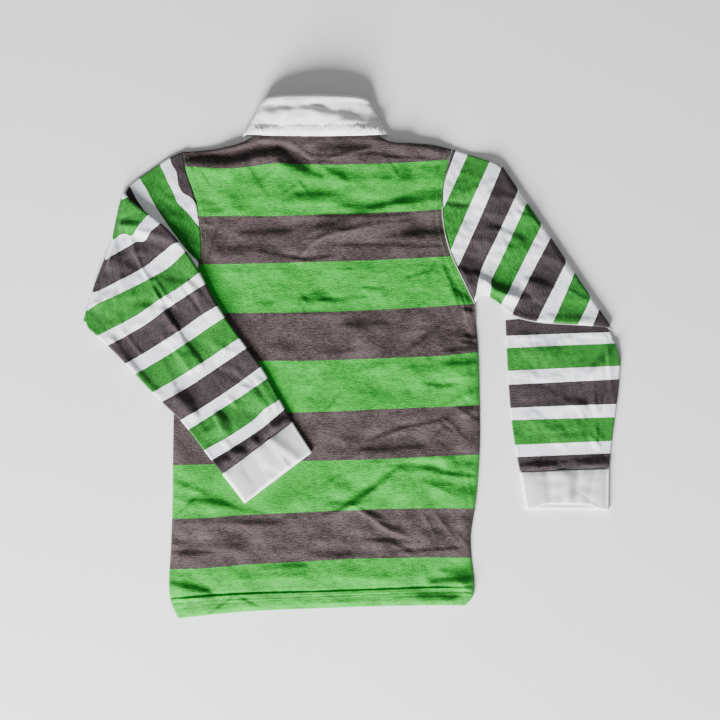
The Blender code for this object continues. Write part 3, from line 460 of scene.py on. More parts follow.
BACK_FOLDS = picked_folds(
    (184, 160, 246, 160.5, 0, 10, 1.1), (242, 155, 284, 153, 1, 7, 0.9), (280, 153, 302, 166, 0, 8, 0.9),
    (300, 163, 330, 162, 0, 4, 0.5), (313, 155, 345, 156, -1, 3.5, 0.55), (322, 149, 366, 148, 0, 8, 0.6),
    (360, 155, 394, 157, 1, 3.5, 0.5), (390, 158, 432, 159, 0, 3.5, 0.5), (282, 162, 320, 177, 0, 8, 0.72),
    (322, 166, 343, 178, 0, 9, 0.5), (249, 168, 264, 190, 0, 7, 0.42), (299, 195, 332, 195, 0, 9, 0.75),
    (320, 208, 377, 208, 1, 8, 0.45), (373, 207, 402, 202, 0, 7, 0.7), (400, 202, 440, 197, 0, 8, 0.7),
    (424, 192, 443, 190, 0, 6, 0.5), (200, 203, 214, 203, 0, 6, 0.38), (201, 211, 221, 211, 0, 5, 0.38),
    (190, 167, 200, 176, 0, 2.5, 0.5), (200, 170, 209, 183, 0, 2.5, 0.5), (262, 181, 271, 173, 0, 2.5, 0.5),
    (392, 166, 398, 175, 0, 2.5, 0.5), (285, 193, 300, 182, 0, 3, 0.5), (300, 182, 307, 191, 0, 3, 0.5),
    (244, 233, 286, 231, 0, 9, 0.65), (222, 250, 276, 249, 0, 12, 0.38), (268, 253, 300, 259, 0, 3, 0.55),
    (298, 259, 326, 257, -1, 4, 0.6), (212, 238, 330, 239, 0, 20, 0.13), (326, 240, 436, 237, 0, 20, 0.12),
    (316, 228, 346, 221, 0, 10, 0.5), (324, 216, 396, 215, 0, 5, 0.6), (338, 245, 432, 246, 0, 4, 0.5),
    (408, 233, 447, 231, 0, 9, 0.55), (384, 237, 412, 236, 0, 8, 0.38), (206, 270, 232, 312, 0, 22, 0.28),
    (304, 299, 326, 299, 0, 6, 0.5), (314, 293, 326, 293, 0, 5, 0.5), (325, 300, 346, 300, 0, 4, 0.45),
    (260, 303, 272, 303, 0, 4, 0.45), (300, 292, 306, 300, 0, 2.5, 0.45), (410, 277, 426, 272, 0, 3, 0.5),
    (446, 272, 458, 304, 1, 4, 0.5), (457, 292, 472, 300, 0, 12, 0.6), (364, 288, 381, 288, 0, 3, 0.45),
    (350, 297, 366, 297, 0, 3, 0.45), (348, 325, 382, 323, 0, 10, 0.3), (413, 346, 441, 324, 0, 6, 0.55),
    (440, 336, 472, 333, 0, 22, 0.3), (450, 351, 478, 347, 0, 7, 0.7), (449, 363, 473, 362, 0, 9, 0.72),
    (418, 368, 452, 366, 0, 18, 0.3), (431, 384, 453, 384, -2, 4, 0.65), (328, 408, 339, 394, 0, 3, 0.5),
    (374, 438, 402, 428, 0, 4, 0.6), (400, 428, 440, 420, 0, 4, 0.5), (364, 449, 421, 447, 0, 8, 0.5),
    (430, 442, 440, 430, 0, 2.5, 0.45), (440, 422, 450, 430, 0, 2.5, 0.45), (462, 410, 478, 420, 0, 3, 0.5),
    (461, 407, 470, 407, 0, 4, 0.6), (396, 466, 427, 467, 0, 7, 0.5), (424, 468, 446, 471, 0, 4, 0.5),
    (442, 473, 471, 476, 0, 4, 0.75), (451, 463, 471, 463, 0, 11, 0.5), (454, 491, 469, 490, 0, 20, 0.3),
    (465, 309.5, 472, 311, 0, 3.5, 1.3), (467, 336.5, 476, 337.5, 0, 4, 1.3),
    (464, 342, 474, 343.5, 0, 3, 1.1), (433, 485, 447, 485, 0, 9, 0.3), (344, 507, 370, 490, 0, 6, 0.8),
    (368, 491, 393, 472, 0, 6, 0.8), (332, 503, 354, 503, 0, 4, 0.5), (364, 461, 396, 461, 0, 3, 0.4),
    (328, 482, 340, 473, 0, 2.5, 0.45), (181, 511, 197, 497, 0, 3, 0.6), (198, 500, 227, 503, 0, 6, 0.55),
    (224, 504, 259, 512, 0, 4, 0.55), (172, 480, 203, 491, 0, 5, 0.5), (364, 510, 381, 517, 0, 4, 0.55),
    (368, 539, 412, 541, 0, 4, 0.5), (395, 543, 412, 552, 0, 4, 0.5), (399, 551, 456, 548, 0, 3, 0.55),
    (318, 554, 347, 554, 0, 8, 0.4), (169, 542, 180, 542, 0, 5, 0.45), (169, 552, 206, 552, 0, 4, 0.6),
    (248, 522, 277, 521, 0, 7, 0.45), (288, 516, 302, 515, 0, 4, 0.45), (436, 580, 472, 577, 0, 9, 1.1),
    (446, 570, 474, 569, 0, 6, 0.7), (424, 596, 456, 596, 0, 12, 0.7), (170, 582, 206, 590, 0, 7, 1),
    (170, 574, 187, 575, 0, 6, 0.42), (212, 611, 231, 598, 0, 3, 0.55), (240, 597, 257, 605, 0, 3, 0.5),
    (268, 566, 303, 565, 0, 5, 0.42),
)
LEFT_UPPER_FOLDS = picked_folds(
    (168, 208, 188, 222, 0, 5, 0.45), (160, 188, 172, 200, 0, 4, 0.45), (178, 222, 196, 246, 0, 6, 0.4),
    (166, 176, 172, 190, 0, 3, 0.35),
)
LEFT_LOWER_FOLDS = picked_folds(
    (118, 224, 150, 222, 0, 4, 0.6), (137, 243, 152, 252, 0, 8, 0.35), (112, 258, 132, 266, 0, 8, 0.35),
    (150, 279, 179, 276, 0, 18, 0.42), (152, 280, 164, 298, 0, 4, 0.75), (160, 283, 167, 296, 0, 3, 0.7),
    (118, 338, 138, 364, 0, 7, 0.85), (136, 344, 148, 357, 0, 4, 0.6), (164, 309, 180, 327, 0, 5, 0.85),
    (176, 311, 187, 326, 0, 4, 0.7), (196, 286, 212, 305, 0, 4, 0.5), (186, 292, 196, 306, 0, 3, 0.5),
    (138, 364, 158, 386, 0, 17, 0.7), (164, 354, 173, 373, 0, 5, 0.6), (184, 338, 202, 361, 0, 8, 0.8),
    (204, 343, 212, 352, 0, 4, 0.6), (184, 384, 204, 416, 0, 18, 0.7), (219, 370, 246, 386, -1, 2.5, 0.75),
    (214, 372, 224, 386, 0, 3, 0.5), (215, 412, 236, 412.5, 0, 5, 0.95), (221, 415, 230, 430, 0, 9, 0.85),
    (231, 417.5, 253, 417, 0, 3.2, 0.9), (194, 428, 213, 415, 0, 3.5, 0.9),
    (209, 376, 220, 393, 0, 3.5, 0.6), (198, 433, 216, 424, 0, 6, 0.45), (190, 426, 212, 444, 0, 12, 0.45),
    (224, 419, 254, 434, 0, 10, 0.55), (264, 380, 280, 404, 0, 12, 0.42), (212, 453, 228, 472, 0, 12, 0.7),
    (232, 440, 250, 460, 0, 14, 0.75), (252, 430, 262, 446, 0, 7, 0.7), (280, 408, 292, 424, 0, 8, 0.7),
    (200, 352, 212, 372, 0, 7, 0.3), (208, 394, 222, 406, 0, 8, 0.28), (214, 463, 290, 414, 0, 9, 0.9),
)
RIGHT_UPPER_FOLDS = picked_folds(
    (520, 213, 537, 218, 0, 3.5, 0.6), (511, 232, 524, 237, 0, 5, 0.5), (506, 243, 512, 247, 0, 4, 0.4),
    (488, 280, 514, 287, 0, 8, 0.8), (528, 279, 548, 283, 0, 9, 0.65), (543, 268, 554, 276, 0, 6, 0.45),
    (516, 292, 528, 298, 0, 7, 0.65), (514, 312, 540, 317, 0, 8, 0.65), (570, 290, 592, 300, 0, 4, 0.8),
    (551, 313, 584, 316, 0, 13, 0.75), (497, 265, 516, 269, 0, 4, 0.35), (457, 268, 490, 271, 0, 11, 1.2),
    (462, 284, 480, 282, 0, 11, 0.55), (476, 222, 502, 228, 0, 4, 0.45), (448, 203, 464, 205, 0, 4, 0.5),
    (590, 312, 606, 318, 0, 10, 0.6), (485, 279, 514, 294, -2, 6, 1.1),
)
RIGHT_LOWER_FOLDS = picked_folds(
    (508, 327, 608, 329, 0, 10, 0.35), (588, 370, 616, 338, 0, 8, 1), (511, 462, 550, 461, 0, 12, 1),
    (586, 460, 614, 458, 0, 10, 1), (545, 466, 590, 463, 0, 10, 0.38), (590, 427, 598, 425, 0, 16, 0.5),
    (511, 430, 526, 430, 0, 8, 0.45), (520, 372, 556, 374, 0, 8, 0.25), (536, 404, 582, 402, 0, 6, 0.3),
    (552, 436, 586, 433, 0, 6, 0.25), (524, 344, 566, 347, 0, 6, 0.25),
)
COLLAR_FOLDS = picked_folds(
    (254, 114, 286, 110, 0, 8, 0.62), (282, 110, 318, 110.5, 0, 6.5, 0.72),
    (314, 110, 346, 117, 0, 7.5, 0.85), (342, 116, 380, 126, 0, 11, 0.85), (250, 130, 272, 127, 0, 6, 0.45),
    (345, 105, 368, 107, 0, 4, 0.35), (296, 119, 322, 119, 0, 3, 0.3),
)


# ------------------------------------------------------------ plan geometry
CURVE_STEPS = 24                        # points that a smooth curve has between two rows
END_WIDTH, MIDDLE_WIDTH = 0.62, 0.38    # a crease's width at its ends, and what its middle adds
END_RISE, MIDDLE_RISE = 0.72, 0.28      # the same for its height
CREASE_RUN_OUT = (0.3, 12.0, 3.0)       # a fading end's share of the length, its most, and what is added
CREST_ROUND = 0.04                      # roundness of a crest, 0 being a sharp one
FLANK_FALL, FLANK_POWER = 1.15, 1.5     # how a flank falls off
FOLD_RUN_OUT = (0.2, 6.0, 1.5)          # the same as CREASE_RUN_OUT, for a fold
FOLD_SIZE = 1.3                         # thickness in a table that gives a face of size 1
FACE_END, FACE_MIDDLE = 0.7, 0.3        # a face's size at its ends, and what its middle adds
FACE_SPREAD, FACE_POWER = 1.195, 1.25   # how far a face's slope spreads, and how it falls off
SHADE_NARROW = 1.6                      # how much narrower its shade is
CREST_WEAR_AND_HIGHLIGHT, CREST_WIDTH = 0.16, 2.0     # how much paler crests are painted, partly as wear and partly as painted highlight, and over what width
FACE_PAINTED_SHADE, WEAR_AND_SHADE_LIMIT = 0.22, 0.3       # painted shade that darkens folded faces, and the most that this painted tint moves either way


def smoothstep(value: Any, low: float, high: float) -> np.ndarray:
    """Blend from 0 at `low` to 1 at `high` with level ends.

    Args:
        value: Number or array to blend.
        low: Where the blend starts.
        high: Where the blend ends.

    Returns:
        The blend, as an array.
    """
    t = np.clip((np.asarray(value, dtype=float) - low) / (high - low), 0.0, 1.0)
    return t * t * (3.0 - 2.0 * t)


def lengths_along(line: np.ndarray) -> np.ndarray:
    """Distance along a line of points, from its first."""
    return np.concatenate([[0.0], np.cumsum(np.linalg.norm(np.diff(line, axis=0), axis=1))])


def read_at(at: np.ndarray, places: np.ndarray, line: np.ndarray) -> np.ndarray:
    """Coordinates of a line where its places reach `at`, row by row."""
    return np.stack([np.interp(at, places, line[:, k]) for k in range(line.shape[1])], axis=1)


def rounded(distance: np.ndarray, radius: float) -> np.ndarray:
    """Height share of a quarter round, 0 at an edge and 1 a radius inside it."""
    return np.sqrt(1.0 - np.clip(1.0 - distance / radius, 0.0, 1.0) ** 2)


def ridge(distance: np.ndarray, width: float) -> np.ndarray:
    """Bell-shaped ridge, 1 at its middle."""
    return np.exp(-(distance / width) ** 2)


def kept_up(lift: np.ndarray, low: float) -> np.ndarray:
    """Lift that levels out above 0 where it would fall below `low`."""
    return np.where(lift > low, lift, low * np.exp(np.minimum(lift, low) / low - 1.0))


def curve_through(points: Sequence[Sequence[float]], fractions: Any, by_length: bool = True) -> np.ndarray:
    """Read a smooth centripetal curve through points.

    Args:
        points: The table's rows.
        fractions: Where to read it, 0 to 1.
        by_length: Whether the fractions are of the length or of the rows.

    Returns:
        One row of coordinates for each fraction.
    """
    p = np.array(points, dtype=float)
    p = np.vstack([2 * p[0] - p[1], p, 2 * p[-1] - p[-2]])
    dense = []
    for i in range(1, len(p) - 2):
        knots = [0.0]
        for j in range(i - 1, i + 2):
            knots.append(knots[-1] + max(np.linalg.norm(p[j + 1] - p[j]), 1e-6) ** 0.5)
        k0, k1, k2, k3 = knots
        for t in np.linspace(k1, k2, CURVE_STEPS, endpoint=False):
            a1 = (k1 - t) / (k1 - k0) * p[i - 1] + (t - k0) / (k1 - k0) * p[i]
            a2 = (k2 - t) / (k2 - k1) * p[i] + (t - k1) / (k2 - k1) * p[i + 1]
            a3 = (k3 - t) / (k3 - k2) * p[i + 1] + (t - k2) / (k3 - k2) * p[i + 2]
            b1 = (k2 - t) / (k2 - k0) * a1 + (t - k0) / (k2 - k0) * a2
            b2 = (k3 - t) / (k3 - k1) * a2 + (t - k1) / (k3 - k1) * a3
            dense.append((k2 - t) / (k2 - k1) * b1 + (t - k1) / (k2 - k1) * b2)
    dense.append(p[-2])
    dense = np.array(dense)
    if by_length:
        place = lengths_along(dense)
    else:
        place = np.linspace(0.0, 1.0, len(dense))
    wanted = np.asarray(fractions, dtype=float) * place[-1]
    return read_at(wanted, place, dense)


def distance_to_line(x: np.ndarray, y: np.ndarray, line: np.ndarray) -> np.ndarray:
    """Distance in plan to a line of points.

    Args:
        x: Plan x, any shape.
        y: Plan y, the same shape.
        line: Rows of (x, y).

    Returns:
        The distances, in the shape of `x`.
    """
    nearest = np.full(np.shape(x), 1e9)
    for (ax, ay), (bx, by) in zip(line[:-1, :2], line[1:, :2]):
        dx, dy = bx - ax, by - ay
        t = np.clip(((x - ax) * dx + (y - ay) * dy) / max(dx * dx + dy * dy, 1e-9), 0.0, 1.0)
        nearest = np.minimum(nearest, np.hypot(x - ax - t * dx, y - ay - t * dy))
    return nearest


def curve_of_corners(corners: Sequence[Sequence[float]], spacing: float) -> np.ndarray:
    """Read points along the straight edges between corners.

    Args:
        corners: Rows of (x, y).
        spacing: Distance between the points.

    Returns:
        Rows of (x, y).
    """
    p = np.array(corners, dtype=float)
    length = lengths_along(p)
    return read_at(np.arange(0.0, length[-1], spacing), length, p)


def distance_outside(x: np.ndarray, y: np.ndarray, outline: Sequence[Sequence[float]]) -> np.ndarray:
    """Distance to a closed outline in plan, 0 inside it.

    Args:
        x: Plan x, any shape.
        y: Plan y, the same shape.
        outline: Corners of the outline.

    Returns:
        The distances.
    """
    p = np.array(outline, dtype=float)
    q = np.roll(p, -1, axis=0)
    inside = np.zeros(np.shape(x), dtype=bool)
    for (ax, ay), (bx, by) in zip(p, q):
        crosses = (ay > y) != (by > y)
        step = by - ay if by != ay else 1e-9
        inside ^= crosses & (x < (bx - ax) * (y - ay) / step + ax)
    return np.where(inside, 0.0, distance_to_line(x, y, np.vstack([p, p[:1]])))


def beside(x: np.ndarray, y: np.ndarray, row: Any) -> tuple:
    """Place plan points beside the line of a crease or fold.

    Args:
        x: Plan x, any shape.
        y: Plan y, the same shape.
        row: The crease or fold.

    Returns:
        Fraction along the line, distance past its ends, distance to the left of
        its bow, and its length.
    """
    dx, dy = row.x1 - row.x0, row.y1 - row.y0
    length = math.hypot(dx, dy)
    along = ((x - row.x0) * dx + (y - row.y0) * dy) / (length * length)
    off = (dx * (y - row.y0) - dy * (x - row.x0)) / length
    held = np.clip(along, 0.0, 1.0)
    return held, (along - held) * length, off - row.bend * 4.0 * held * (1.0 - held), length


def crease_height(x: np.ndarray, y: np.ndarray, creases: Sequence[Crease], steepest: float = 0.8,
                  crest: float = 0.0) -> np.ndarray:
    """Sum the creases at plan points.

    Args:
        x: Plan x, any shape.
        y: Plan y, the same shape.
        creases: The ridges and troughs.
        steepest: Most that a crease rises for each millimetre of its narrower flank.
        crest: Width of both flanks instead of the table's, where it is not 0.

    Returns:
        The height that they add, in millimetres.
    """
    total = np.zeros(np.shape(x), dtype=float)
    for c in creases:
        limit = steepest * min(c.left, c.right)
        height = limit * math.tanh(c.height / limit)
        held, past, off, length = beside(x, y, c)
        middle = np.sin(math.pi * held)
        width = np.where(off > 0.0, crest or c.left, crest or c.right) * (END_WIDTH + MIDDLE_WIDTH * middle)
        rise = END_RISE + MIDDLE_RISE * middle
        reach = min(CREASE_RUN_OUT[0] * length, CREASE_RUN_OUT[1]) + CREASE_RUN_OUT[2]
        flank = np.sqrt((off / width) ** 2 + CREST_ROUND) - math.sqrt(CREST_ROUND)
        total += height * rise * np.exp(-FLANK_FALL * flank ** FLANK_POWER - (past / reach) ** 2)
    return total


def fold_height(x: np.ndarray, y: np.ndarray, folds: Sequence[Fold]) -> tuple:
    """Sum the folds at plan points.

    Args:
        x: Plan x, any shape.
        y: Plan y, the same shape.
        folds: The falling faces.

    Returns:
        The height that they add in millimetres, and how much each point lies on a face, which sets its
        painted shade.
    """
    total = np.zeros(np.shape(x), dtype=float)
    painted_shade_share = np.zeros(np.shape(x), dtype=float)
    for f in folds:
        held, past, off, length = beside(x, y, f)
        fade = ridge(past, min(FOLD_RUN_OUT[0] * length, FOLD_RUN_OUT[1]) + FOLD_RUN_OUT[2])
        size = f.thick / FOLD_SIZE * (FACE_END + FACE_MIDDLE * np.sin(math.pi * held))
        share = np.abs(off) / (size * FACE_SPREAD)
        total -= f.slope * off * np.exp(-share ** FACE_POWER) * fade
        painted_shade_share += f.slope * np.exp(-(SHADE_NARROW * share) ** 2) * fade
    return total, painted_shade_share


def wear_and_painted_light(x: np.ndarray, y: np.ndarray, creases: Sequence[Crease], folds: Sequence[Fold],
         extra: Any = 0.0, shown: Any = 1.0) -> np.ndarray:
    """Tint of the yarn: paler on crests, partly as wear and partly as painted highlight, and darker on
    folded faces as painted shade.

    Args:
        x: Plan x, any shape.
        y: Plan y, the same shape.
        creases: The ridges and troughs.
        folds: The falling faces.
        extra: Tint that is added to that of the crests.
        shown: Share of it that each point takes.

    Returns:
        The tint, at most its limit either way.
    """
    # Painted light: crests paler as wear and painted highlight, folded faces darker as painted shade.
    wear_and_shade = CREST_WEAR_AND_HIGHLIGHT * crease_height(x, y, creases, crest=CREST_WIDTH) + extra
    return np.clip((wear_and_shade - FACE_PAINTED_SHADE * fold_height(x, y, folds)[1]) * shown, -WEAR_AND_SHADE_LIMIT, WEAR_AND_SHADE_LIMIT)


class Ripple:
    """A seeded field of small uneven waves, longer along x than across."""

    def __init__(self, seed: int, longest: float, shortest: float, stretch: float, count: int = 26) -> None:
        """Draw the waves.

        Args:
            seed: Seed of the random numbers.
            longest: Longest wave, in millimetres.
            shortest: Shortest wave.
            stretch: How much longer a wave along x is.
            count: Number of waves.
        """
        rng = np.random.default_rng(seed)
        turn = rng.uniform(0.0, math.pi, count)
        size = 2.0 * math.pi / (shortest * (longest / shortest) ** rng.uniform(0.0, 1.0, count))
        self.kx = np.cos(turn) * size / stretch
        self.ky = np.sin(turn) * size
        self.phase = rng.uniform(0.0, 2.0 * math.pi, count)
        self.scale = math.sqrt(2.0 / count)

    def at(self, x: np.ndarray, y: np.ndarray) -> np.ndarray:
        """Sum the waves at plan points.

        Args:
            x: Plan x, any shape.
            y: Plan y, the same shape.

        Returns:
            The height, with a spread of about 1.
        """
        total = np.zeros(np.shape(x), dtype=float)
        for kx, ky, phase in zip(self.kx, self.ky, self.phase):
            total += np.sin(kx * x + ky * y + phase)
        return total * self.scale


class StripeMap:
    """A smooth field through the measured stripe edges, in edge numbers."""

    size: float = 100.0         # millimetres that count as 1 in the fit
    smoothing: float = 1e-5     # how loosely the field follows a mark
    batch: int = 4000           # points worked out at once

    def __init__(self, edges: dict) -> None:
        """Fit a thin plate through the marks.

        Args:
            edges: The measured points of each stripe edge, by its number.
        """
        rows = self.filled(edges)
        self.centre = rows[:, :2].mean(axis=0)
        self.at_marks = (rows[:, :2] - self.centre) / self.size
        n = len(rows)
        system = np.zeros((n + 3, n + 3))
        system[:n, :n] = self.bump(self.at_marks, self.at_marks) + np.eye(n) * self.smoothing
        system[:n, n] = system[n, :n] = 1.0
        system[:n, n + 1:] = self.at_marks
        system[n + 1:, :n] = self.at_marks.T
        self.weights = np.linalg.solve(system, np.concatenate([rows[:, 2], np.zeros(3)]))

    @staticmethod
    def filled(edges: dict, spacing: float = 7.0) -> np.ndarray:
        """Add points between the measured points of each stripe edge.

        Args:
            edges: The measured points, by the edge's number.
            spacing: Distance between the points, in millimetres.

        Returns:
            Rows of (x, y, edge number).
        """
        rows = []
        for line, points in sorted(edges.items()):
            length = np.linalg.norm(np.diff(np.array(points), axis=0), axis=1).sum()
            edge = curve_through(points, np.linspace(0.0, 1.0, max(int(length / spacing), 1) + 1))
            rows.append(np.column_stack([edge, np.full(len(edge), line)]))
        return np.vstack(rows)

    @staticmethod
    def bump(a: np.ndarray, b: np.ndarray) -> np.ndarray:
        """Thin-plate kernel between two sets of points."""
        square = ((a[:, None, :] - b[None, :, :]) ** 2).sum(axis=2)
        return 0.5 * square * np.log(np.maximum(square, 1e-12))

    def at(self, x: np.ndarray, y: np.ndarray) -> np.ndarray:
        """Read the field at plan points.

        Args:
            x: Plan x, any shape.
            y: Plan y, the same shape.

        Returns:
            The edge number, in the shape of `x`.
        """
        points = (np.stack([np.ravel(x), np.ravel(y)], axis=1) - self.centre) / self.size
        n = len(self.at_marks)
        parts = np.array_split(points, len(points) // self.batch + 1)
        values = np.concatenate([self.bump(part, self.at_marks) @ self.weights[:n] for part in parts])
        values += self.weights[n] + points @ self.weights[n + 1:]
        return values.reshape(np.shape(x))


# ------------------------------------------------------------ shader writing
class Wire:
    """A value in a node tree, with arithmetic that adds Math nodes."""

    def __init__(self, tree: bpy.types.NodeTree, socket: bpy.types.NodeSocket) -> None:
        """Wrap a socket of a tree."""
        self.tree = tree
        self.socket = socket

    def math(self, operation: str, *others: Any) -> "Wire":
        """Apply a Math node.

        Args:
            operation: The node's operation.
            others: Up to two more values, each a Wire or a number.

        Returns:
            The node's result.
        """
        node = self.tree.nodes.new("ShaderNodeMath")
        node.operation = operation
        for slot, value in zip(node.inputs, (self, *others)):
            if isinstance(value, Wire):
                self.tree.links.new(value.socket, slot)
            else:
                slot.default_value = value
        return Wire(self.tree, node.outputs[0])

    def __add__(self, other: Any) -> "Wire":
        """Sum."""
        return self.math("ADD", other)

    def __sub__(self, other: Any) -> "Wire":
        """Difference."""
        return self.math("SUBTRACT", other)

    def __mul__(self, other: Any) -> "Wire":
        """Product."""
        return self.math("MULTIPLY", other)

    def __truediv__(self, other: Any) -> "Wire":
        """Quotient."""
        return self.math("DIVIDE", other)

    def wrapped(self, period: float) -> "Wire":
        """Remainder in [0, period)."""
        return self.math("WRAP", period, 0.0)

    def above(self, level: float) -> "Wire":
        """1 where the value is above a level, else 0."""
        return self.math("GREATER_THAN", level)

    def band(self, low: float, high: float) -> "Wire":
        """Blend smoothly between two levels.

        Args:
            low: Level that gives 0.
            high: Level that gives 1.

        Returns:
            The blend.
        """
        node = self.tree.nodes.new("ShaderNodeMapRange")
        node.interpolation_type = "SMOOTHSTEP"
        self.tree.links.new(self.socket, node.inputs["Value"])
        node.inputs["From Min"].default_value = low
        node.inputs["From Max"].default_value = high
        return Wire(self.tree, node.outputs["Result"])


class Surface:
    """A material under construction, with its Principled shader."""

    def __init__(self, name: str, roughness: float, sheen: float) -> None:
        """Start a material.

        Args:
            name: Name of the material.
            roughness: Roughness of the cloth.
            sheen: Weight of the soft fibre sheen.
        """
        self.material = bpy.data.materials.new(name)
        self.material.use_nodes = True
        self.tree = self.material.node_tree
        self.shader = self.tree.nodes["Principled BSDF"]
        self.shader.inputs["Roughness"].default_value = roughness
        self.shader.inputs["Sheen Weight"].default_value = sheen
        self.shader.inputs["Sheen Roughness"].default_value = 0.5
        self.shader.inputs["Specular IOR Level"].default_value = 0.2

    def node(self, kind: str, settings: Optional[dict] = None,
             inputs: Optional[dict] = None) -> bpy.types.Node:
        """Add a node.

        Args:
            kind: Node type.
            settings: Properties that are set first.
            inputs: Values, Wires or sockets for its inputs by name or index.

        Returns:
            The node.
        """
        made = self.tree.nodes.new(kind)
        for key, value in (settings or {}).items():
            setattr(made, key, value)
        for key, value in (inputs or {}).items():
            if isinstance(value, Wire):
                self.tree.links.new(value.socket, made.inputs[key])
            elif isinstance(value, bpy.types.NodeSocket):
                self.tree.links.new(value, made.inputs[key])
            else:
                made.inputs[key].default_value = value
        return made

    def value(self, node: bpy.types.Node, output: str) -> Wire:
        """Wrap a node's output."""
        return Wire(self.tree, node.outputs[output])

    def map_xy(self, layer: str) -> tuple:
        """Read a UV layer.

        Args:
            layer: Name of the layer.

        Returns:
            Its two coordinates.
        """
        uv = self.node("ShaderNodeUVMap", {"uv_map": layer})
        split = self.node("ShaderNodeSeparateXYZ", inputs={0: uv.outputs["UV"]})
        return self.value(split, "X"), self.value(split, "Y")

    def noise(self, x: Wire, y: Wire, seed: float, detail: float = 2.0) -> Wire:
        """Make noise of two coordinates, one feature for each unit of them.

        Args:
            x: First coordinate.
            y: Second coordinate.
            seed: Third coordinate, which tells noises apart.
            detail: Finer layers of the noise.

        Returns:
            The noise, 0 to 1.
        """
        place = self.node("ShaderNodeCombineXYZ", inputs={"X": x, "Y": y, "Z": seed})
        made = self.node("ShaderNodeTexNoise", {"noise_dimensions": "3D"},
                         {"Vector": place.outputs[0], "Scale": 1.0, "Detail": detail, "Roughness": 0.55})
        return self.value(made, "Fac")

    def speckle(self, scale: float, detail: float) -> Wire:
        """Make noise of the object's own coordinates.

        Args:
            scale: Features a metre.
            detail: Finer layers of the noise.

        Returns:
            The noise, 0 to 1.
        """
        where = self.node("ShaderNodeTexCoord").outputs["Object"]
        inputs = {"Vector": where, "Scale": scale, "Detail": detail}
        return self.value(self.node("ShaderNodeTexNoise", inputs=inputs), "Fac")

    @staticmethod
    def wave(place: Wire, pitch: float) -> Wire:
        """Sine wave of 0 to 1 with a pitch in metres."""
        return (place * (2.0 * math.pi / pitch)).math("SINE") * 0.5 + 0.5

    def mix(self, factor: Any, a: Any, b: Any) -> bpy.types.NodeSocket:
        """Mix two colours.

        Args:
            factor: Share of the second colour.
            a: First colour, a tuple or a socket.
            b: Second colour.

        Returns:
            The mixed colour's socket.
        """
        made = self.node("ShaderNodeMix", {"data_type": "RGBA", "blend_type": "MIX", "clamp_factor": True})
        for slot, value in ((made.inputs["Factor"], factor), (made.inputs[6], a), (made.inputs[7], b)):
            if isinstance(value, Wire):
                self.tree.links.new(value.socket, slot)
            elif isinstance(value, bpy.types.NodeSocket):
                self.tree.links.new(value, slot)
            elif isinstance(value, tuple):
                slot.default_value = (*value, 1.0)
            else:
                slot.default_value = value
        return made.outputs[2]

    def bump(self, height: Wire, distance: float) -> bpy.types.NodeSocket:
        """Turn a height of 0 to 1 into a normal, `distance` being its metres."""
        inputs = {"Height": height, "Distance": distance, "Strength": 1.0}
        return self.node("ShaderNodeBump", inputs=inputs).outputs["Normal"]

    def finish(self, colour: Any, normal: Optional[bpy.types.NodeSocket] = None) -> bpy.types.Material:
        """Feed the shader.

        Args:
            colour: Socket of the base colour.
            normal: Socket of the normal, where the surface has a relief.

        Returns:
            The finished material.
        """
        self.tree.links.new(colour, self.shader.inputs["Base Color"])
        if normal is not None:
            self.tree.links.new(normal, self.shader.inputs["Normal"])
        return self.material


class Dye(Enum):
    """A yarn colour, as its dark and light tones, between which random streaks and painted light blend."""

    GREEN = ((0.010, 0.150, 0.010), (0.030, 0.400, 0.034))
    TAUPE = ((0.015, 0.009, 0.009), (0.082, 0.060, 0.062))
    # Darker copies of green and taupe for the sleeves, which paint shade on them.
    SHADED_SLEEVE_GREEN = ((0.007, 0.078, 0.007), (0.020, 0.240, 0.020))
    SHADED_SLEEVE_TAUPE = ((0.014, 0.009, 0.011), (0.054, 0.041, 0.046))
    WHITE = ((0.66, 0.68, 0.72), (0.90, 0.92, 0.96))


@dataclass(frozen=True)
class StripedJersey:
    """Cotton jersey knitted in stripes, with paler crests and darker folded faces painted into its colour.
    """

    name: str
    cycle: tuple
    ragged: float
    streak_long: float = 0.0052
    streak_high: float = 0.0011
    grain_long: float = 0.0020
    grain_high: float = 0.0010

    def build(self) -> bpy.types.Material:
        """Make the material.

        Returns:
            The material.
        """
        s = Surface(self.name, 0.88, 0.12)
        across, along = s.map_xy("knit")
        # The stripe layer's first coordinate is painted light: paler on crests as wear and painted
        # highlight, darker on folded faces as painted shade.
        wear_and_shade, line = s.map_xy("stripe")
        loops = s.noise(across * 900.0, along * 300.0, 3.0, 1.0)
        number = (line + (loops - 0.5) * self.ragged).wrapped(float(len(self.cycle)))
        streak = s.noise(across / self.streak_long, along / self.streak_high, 0.0, 2.0)
        grain = s.noise(across / self.grain_long, along / self.grain_high, 4.0, 2.0)
        patch = s.noise(across * 38.0, along * 60.0, 7.0, 3.0)
        tone = (streak - 0.5) * 1.5 + (grain - 0.5) * 1.1 + (patch - 0.5) * 0.6 + wear_and_shade + 0.5
        tone = tone.band(0.0, 1.0)
        colour = None
        for i, dye in enumerate(self.cycle):
            shade = s.mix(tone, dye.value[0], dye.value[1])
            colour = shade if colour is None else s.mix(number.above(float(i)), colour, shade)
        knit = s.noise(across * 420.0, along * 950.0, 11.0, 2.0)
        relief = streak * 0.3 + grain * 0.4 + knit * 0.3
        return s.finish(colour, s.bump(relief, 0.0013))


